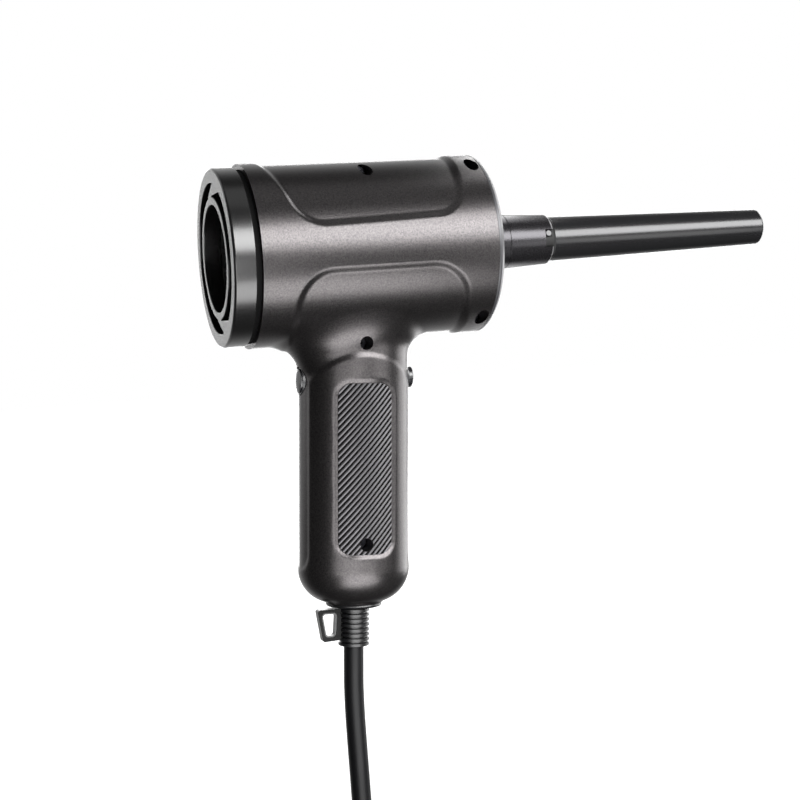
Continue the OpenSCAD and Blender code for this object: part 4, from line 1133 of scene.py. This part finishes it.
# %% The boot's section
RIBS = 8
RIB_PITCH = 17.7 / RIBS
RIB_R, RIB_FOOT_R, BOOT_BORE_R = 7.0, 5.9, 4.6


def relief_section():
    section = [(RELIEF_END, BOOT_BORE_R)]
    for i in range(RIBS):
        z = RELIEF_END + i * RIB_PITCH
        section += [(z, 6.2), (z + 0.1, 6.85), (z + 0.22, RIB_R), (z + 1.4, RIB_R), (z + 1.52, 6.85),
                    (z + 1.62, 6.2), (z + 1.68, RIB_FOOT_R), (z + 2.15, RIB_FOOT_R)]
    return section + [(-63.2, 11.6), (-62.9, 12.4), (-62.3, 12.7), (BASE_Z, 12.7), (BASE_Z, 7.8),
                      (-58.3, 7.8), (-58.3, 9.8), (-56.9, 9.8), (-56.9, BOOT_BORE_R)]


# %% The loop's outline
LOOP = [(-16.2, -65.7), (-6.4, -65.4), (-6.4, -77.2), (-13.9, -77.8)]
LOOP_HOLE = [(-13.6, -67.8), (-10.2, -67.8), (-10.6, -75.2), (-12.2, -75.2)]
LOOP_ARC_STEPS = 6


def round_corners(corners, r):
    """Outline at distance r round a convex set of corners."""
    n = len(corners)
    pairs = [(corners[i], corners[(i + 1) % n]) for i in range(n)]
    area = sum(a[0] * b[1] - b[0] * a[1] for a, b in pairs)
    ordered = corners if area > 0 else corners[::-1]
    points = []
    for i in range(n):
        a, b, c = (Vector(ordered[j % n]) for j in (i - 1, i, i + 1))
        start = math.atan2(-(b - a).x, (b - a).y)
        end = math.atan2(-(c - b).x, (c - b).y)
        while end < start:
            end += 2 * math.pi
        for k in range(LOOP_ARC_STEPS + 1):
            t = start + (end - start) * k / LOOP_ARC_STEPS
            points.append((b.x + r * math.cos(t), b.y + r * math.sin(t)))
    return points


# %% Boot and loop in one piece
LOOP_HALF = 2.2
CORNER, BORDER_CORNER, BORDER_DEPTH = 1.2, 1.9, 0.45


def hang_loop():
    plate = slab("loop", round_corners(LOOP, CORNER), -LOOP_HALF, LOOP_HALF)
    cut(plate, slab("hole", round_corners(LOOP_HOLE, CORNER), -4, 4))
    for y in (-LOOP_HALF, LOOP_HALF):
        step = slab("step", round_corners(LOOP_HOLE, BORDER_CORNER), y - BORDER_DEPTH, y + BORDER_DEPTH)
        cut(plate, step)
    bevel(plate, 0.25, 2, 40)
    return cut(plate, rod("clear", 6.3, (0, 0, -90), (0, 0, -55), 64))


def relief():
    boot = lathe("relief_boot", relief_section(), 96)
    boot.data.transform(Matrix.Rotation(-math.pi / 2, 4, "Y"))
    cut(boot, hang_loop(), "UNION")
    return seat(smooth(boot, 35), "handle")


boot = relief()
done(boot, "housing", "rubber", "strain_relief", slot="cord_rubber")
paint(boot, "etched", lambda x, y, z, normal: x < -11.3 and abs(normal.y) > 0.9 and abs(y) > 2.0)

# %% [markdown]
# ## Light
# A satin metallic body shows its lamps more than its colour. A broad softbox in front draws the
# bright band along the barrel, and a small low one the second band. Two close fills light the handle
# without reaching the barrel's dark stretch. Lamps beside and behind draw the edges, and two thin
# ones edge the collar.

# %% A lamp
def lamp(name, azimuth, elevation, distance, width, height, power, aim=(20, 0, 50), roll=0):
    """azimuth runs from -Y towards +X. Lengths are in metres, and aim is in millimetres."""
    a, e = math.radians(azimuth), math.radians(elevation)
    place = Vector((math.sin(a) * math.cos(e), -math.cos(a) * math.cos(e), math.sin(e))) * distance
    bpy.ops.object.light_add(type="AREA", location=place + Vector(aim) * MM)
    obj = bpy.context.object
    obj.name = name
    obj.data.shape = "RECTANGLE"
    obj.data.size, obj.data.size_y = width, height
    obj.data.energy = power
    obj.visible_camera = False
    turn = Matrix.Rotation(math.radians(roll), 3, "Z")
    obj.rotation_euler = ((-place).to_track_quat("-Z", "Y").to_matrix() @ turn).to_euler()


# %% [markdown]
# The camera sees a plain white world. Reflections see another one, bright behind the tool and almost
# dark in front, because white from all sides would fill the dark stretches between the bands.

# %% The world
GLOW_STARTS, GLOW_FULL = 0.3, 0.97
GLOW_FRONT, GLOW_BEHIND = 0.02, 0.9
WHITE = rgb("ffffff")


def empty_tree(data):
    data.use_nodes = True
    data.node_tree.nodes.clear()
    return data.node_tree


def world():
    background = bpy.data.worlds.new("studio")
    bpy.context.scene.world = background
    tree = empty_tree(background)
    path = add(tree, "LightPath")
    seen = add(tree, "Background", Color=WHITE, Strength=1.0)
    place = add(tree, "TexCoord")
    way = add(tree, "SeparateXYZ", Vector=place.outputs["Generated"])
    glow = add(tree, "MapRange", {"interpolation_type": "SMOOTHSTEP"},
               Value=way.outputs["Y"], From_Min=GLOW_STARTS, From_Max=GLOW_FULL, To_Min=GLOW_FRONT,
               To_Max=GLOW_BEHIND)
    felt = add(tree, "Background", Color=WHITE, Strength=glow)
    mix = add(tree, "MixShader", at={0: path.outputs["Is Camera Ray"], 1: felt, 2: seen})
    add(tree, "OutputWorld", Surface=mix)


world()

# %% [markdown]
# The coil lies on white paper, which keeps a soft shadow near the tool and fades to the world's
# plain white further out, so no horizon shows. Seen from below it is clear, and reflections skip it.

# %% The floor
FLOOR_GAP_MM, FLOOR_RADIUS_M = 0.3, 6.0
SHADE_NEAR, SHADE_FAR = 0.15, 0.6
PAPER_NEAR, PAPER_FAR = 0.7, 1.0


def white_paper():
    paper = bpy.data.materials.new("matt_white_paper")
    tree = empty_tree(paper)
    place = add(tree, "TexCoord")
    away = add(tree, "VectorMath", {"operation": "LENGTH"}, Vector=place.outputs["Object"])
    level = add(tree, "MapRange", {"interpolation_type": "SMOOTHSTEP"},
                Value=away.outputs["Value"], From_Min=SHADE_NEAR, From_Max=SHADE_FAR,
                To_Min=PAPER_NEAR, To_Max=PAPER_FAR)
    white = add(tree, "Emission", Color=WHITE, Strength=level)
    grey = add(tree, "BsdfDiffuse", Color=rgb("959595"))
    lit = add(tree, "AddShader", at={0: white, 1: grey})
    clear = add(tree, "BsdfTransparent")
    below = add(tree, "NewGeometry").outputs["Backfacing"]
    mix = add(tree, "MixShader", at={0: below, 1: lit, 2: clear})
    add(tree, "OutputMaterial", Surface=mix)
    return paper


def paper_floor():
    bpy.ops.mesh.primitive_circle_add(vertices=96, radius=FLOOR_RADIUS_M, fill_type="NGON",
                                      location=(0, 0, loaded[0][2] - FLOOR_GAP_MM * MM))
    sheet = bpy.context.object
    sheet.name = "paper_floor"
    sheet.data.materials.append(white_paper())
    sheet.visible_glossy = False
    sheet.visible_diffuse = False
    sheet.visible_shadow = False


paper_floor()

# %% Place the lamps
COLLAR = (160, 0, 97)
lamp("key_softbox", 31, 21, 1.6, 1.8, 0.8, 84)
lamp("low_softbox", 3, -37, 0.36, 0.33, 0.20, 1.95, (0, 0, 15), roll=8)
lamp("front_fill_left", -17, 0, 0.42, 0.35, 0.23, 1.3, (0, 0, -52))
lamp("front_fill_right", 43, 0, 0.54, 0.24, 0.17, 0.45, (0, 0, -40))
lamp("collar_top", 180, 70, 0.2, 0.04, 0.22, 0.24, COLLAR)
lamp("collar_under", 180, -56, 0.2, 0.04, 0.14, 0.055, COLLAR)
lamp("top_softbox", -10, 80, 1.4, 1.2, 0.8, 2)
lamp("right_edge", 104, 8, 1.3, 0.9, 1.4, 22)
lamp("back_softbox", 163, 3, 1.5, 1.4, 0.9, 18)
lamp("left_edge", -125, 20, 1.4, 0.5, 1.2, 3)
bpy.context.scene.view_settings.view_transform = "Standard"

# %% [markdown]
# ## Inner pieces
# Fan, motor, board and wires have their true shape in the CAD model, and little of them shows. Each
# keeps its mesh and gets the finish of what it is made of.

# %% Finish the inner pieces
INNER = {
    "steel": "rear_bearing front_bearing board_screws clamp_screws rotor_shaft impeller_nut",
    "black_steel": "shell_screws", "zinc": "motor_can stator_core", "copper": "stator_windings",
    "aluminium": "heat_sink impeller", "magnet": "rotor_magnet", "nylon": "fan_shroud diffuser",
    "trim": "finger_guard cord_clamp", "switch": "power_switch speed_switch", "foam": "intake_filter",
    "board": "control_board", "sleeve": "capacitor", "terminal": "terminal_block", "cord": "cord_tail",
    "lead_red": "motor_leads", "lead_brown": "mains_leads", "soft": "motor_mount nozzle_seal",
}
inner = [(name, kind) for kind, names in INNER.items() for name in names.split()]
for name, kind in inner:
    nodes[name].data.materials.clear()
    nodes[name].data.materials.append(mats[kind])
    smooth(nodes[name], 30)
print("inner pieces:", len(inner))
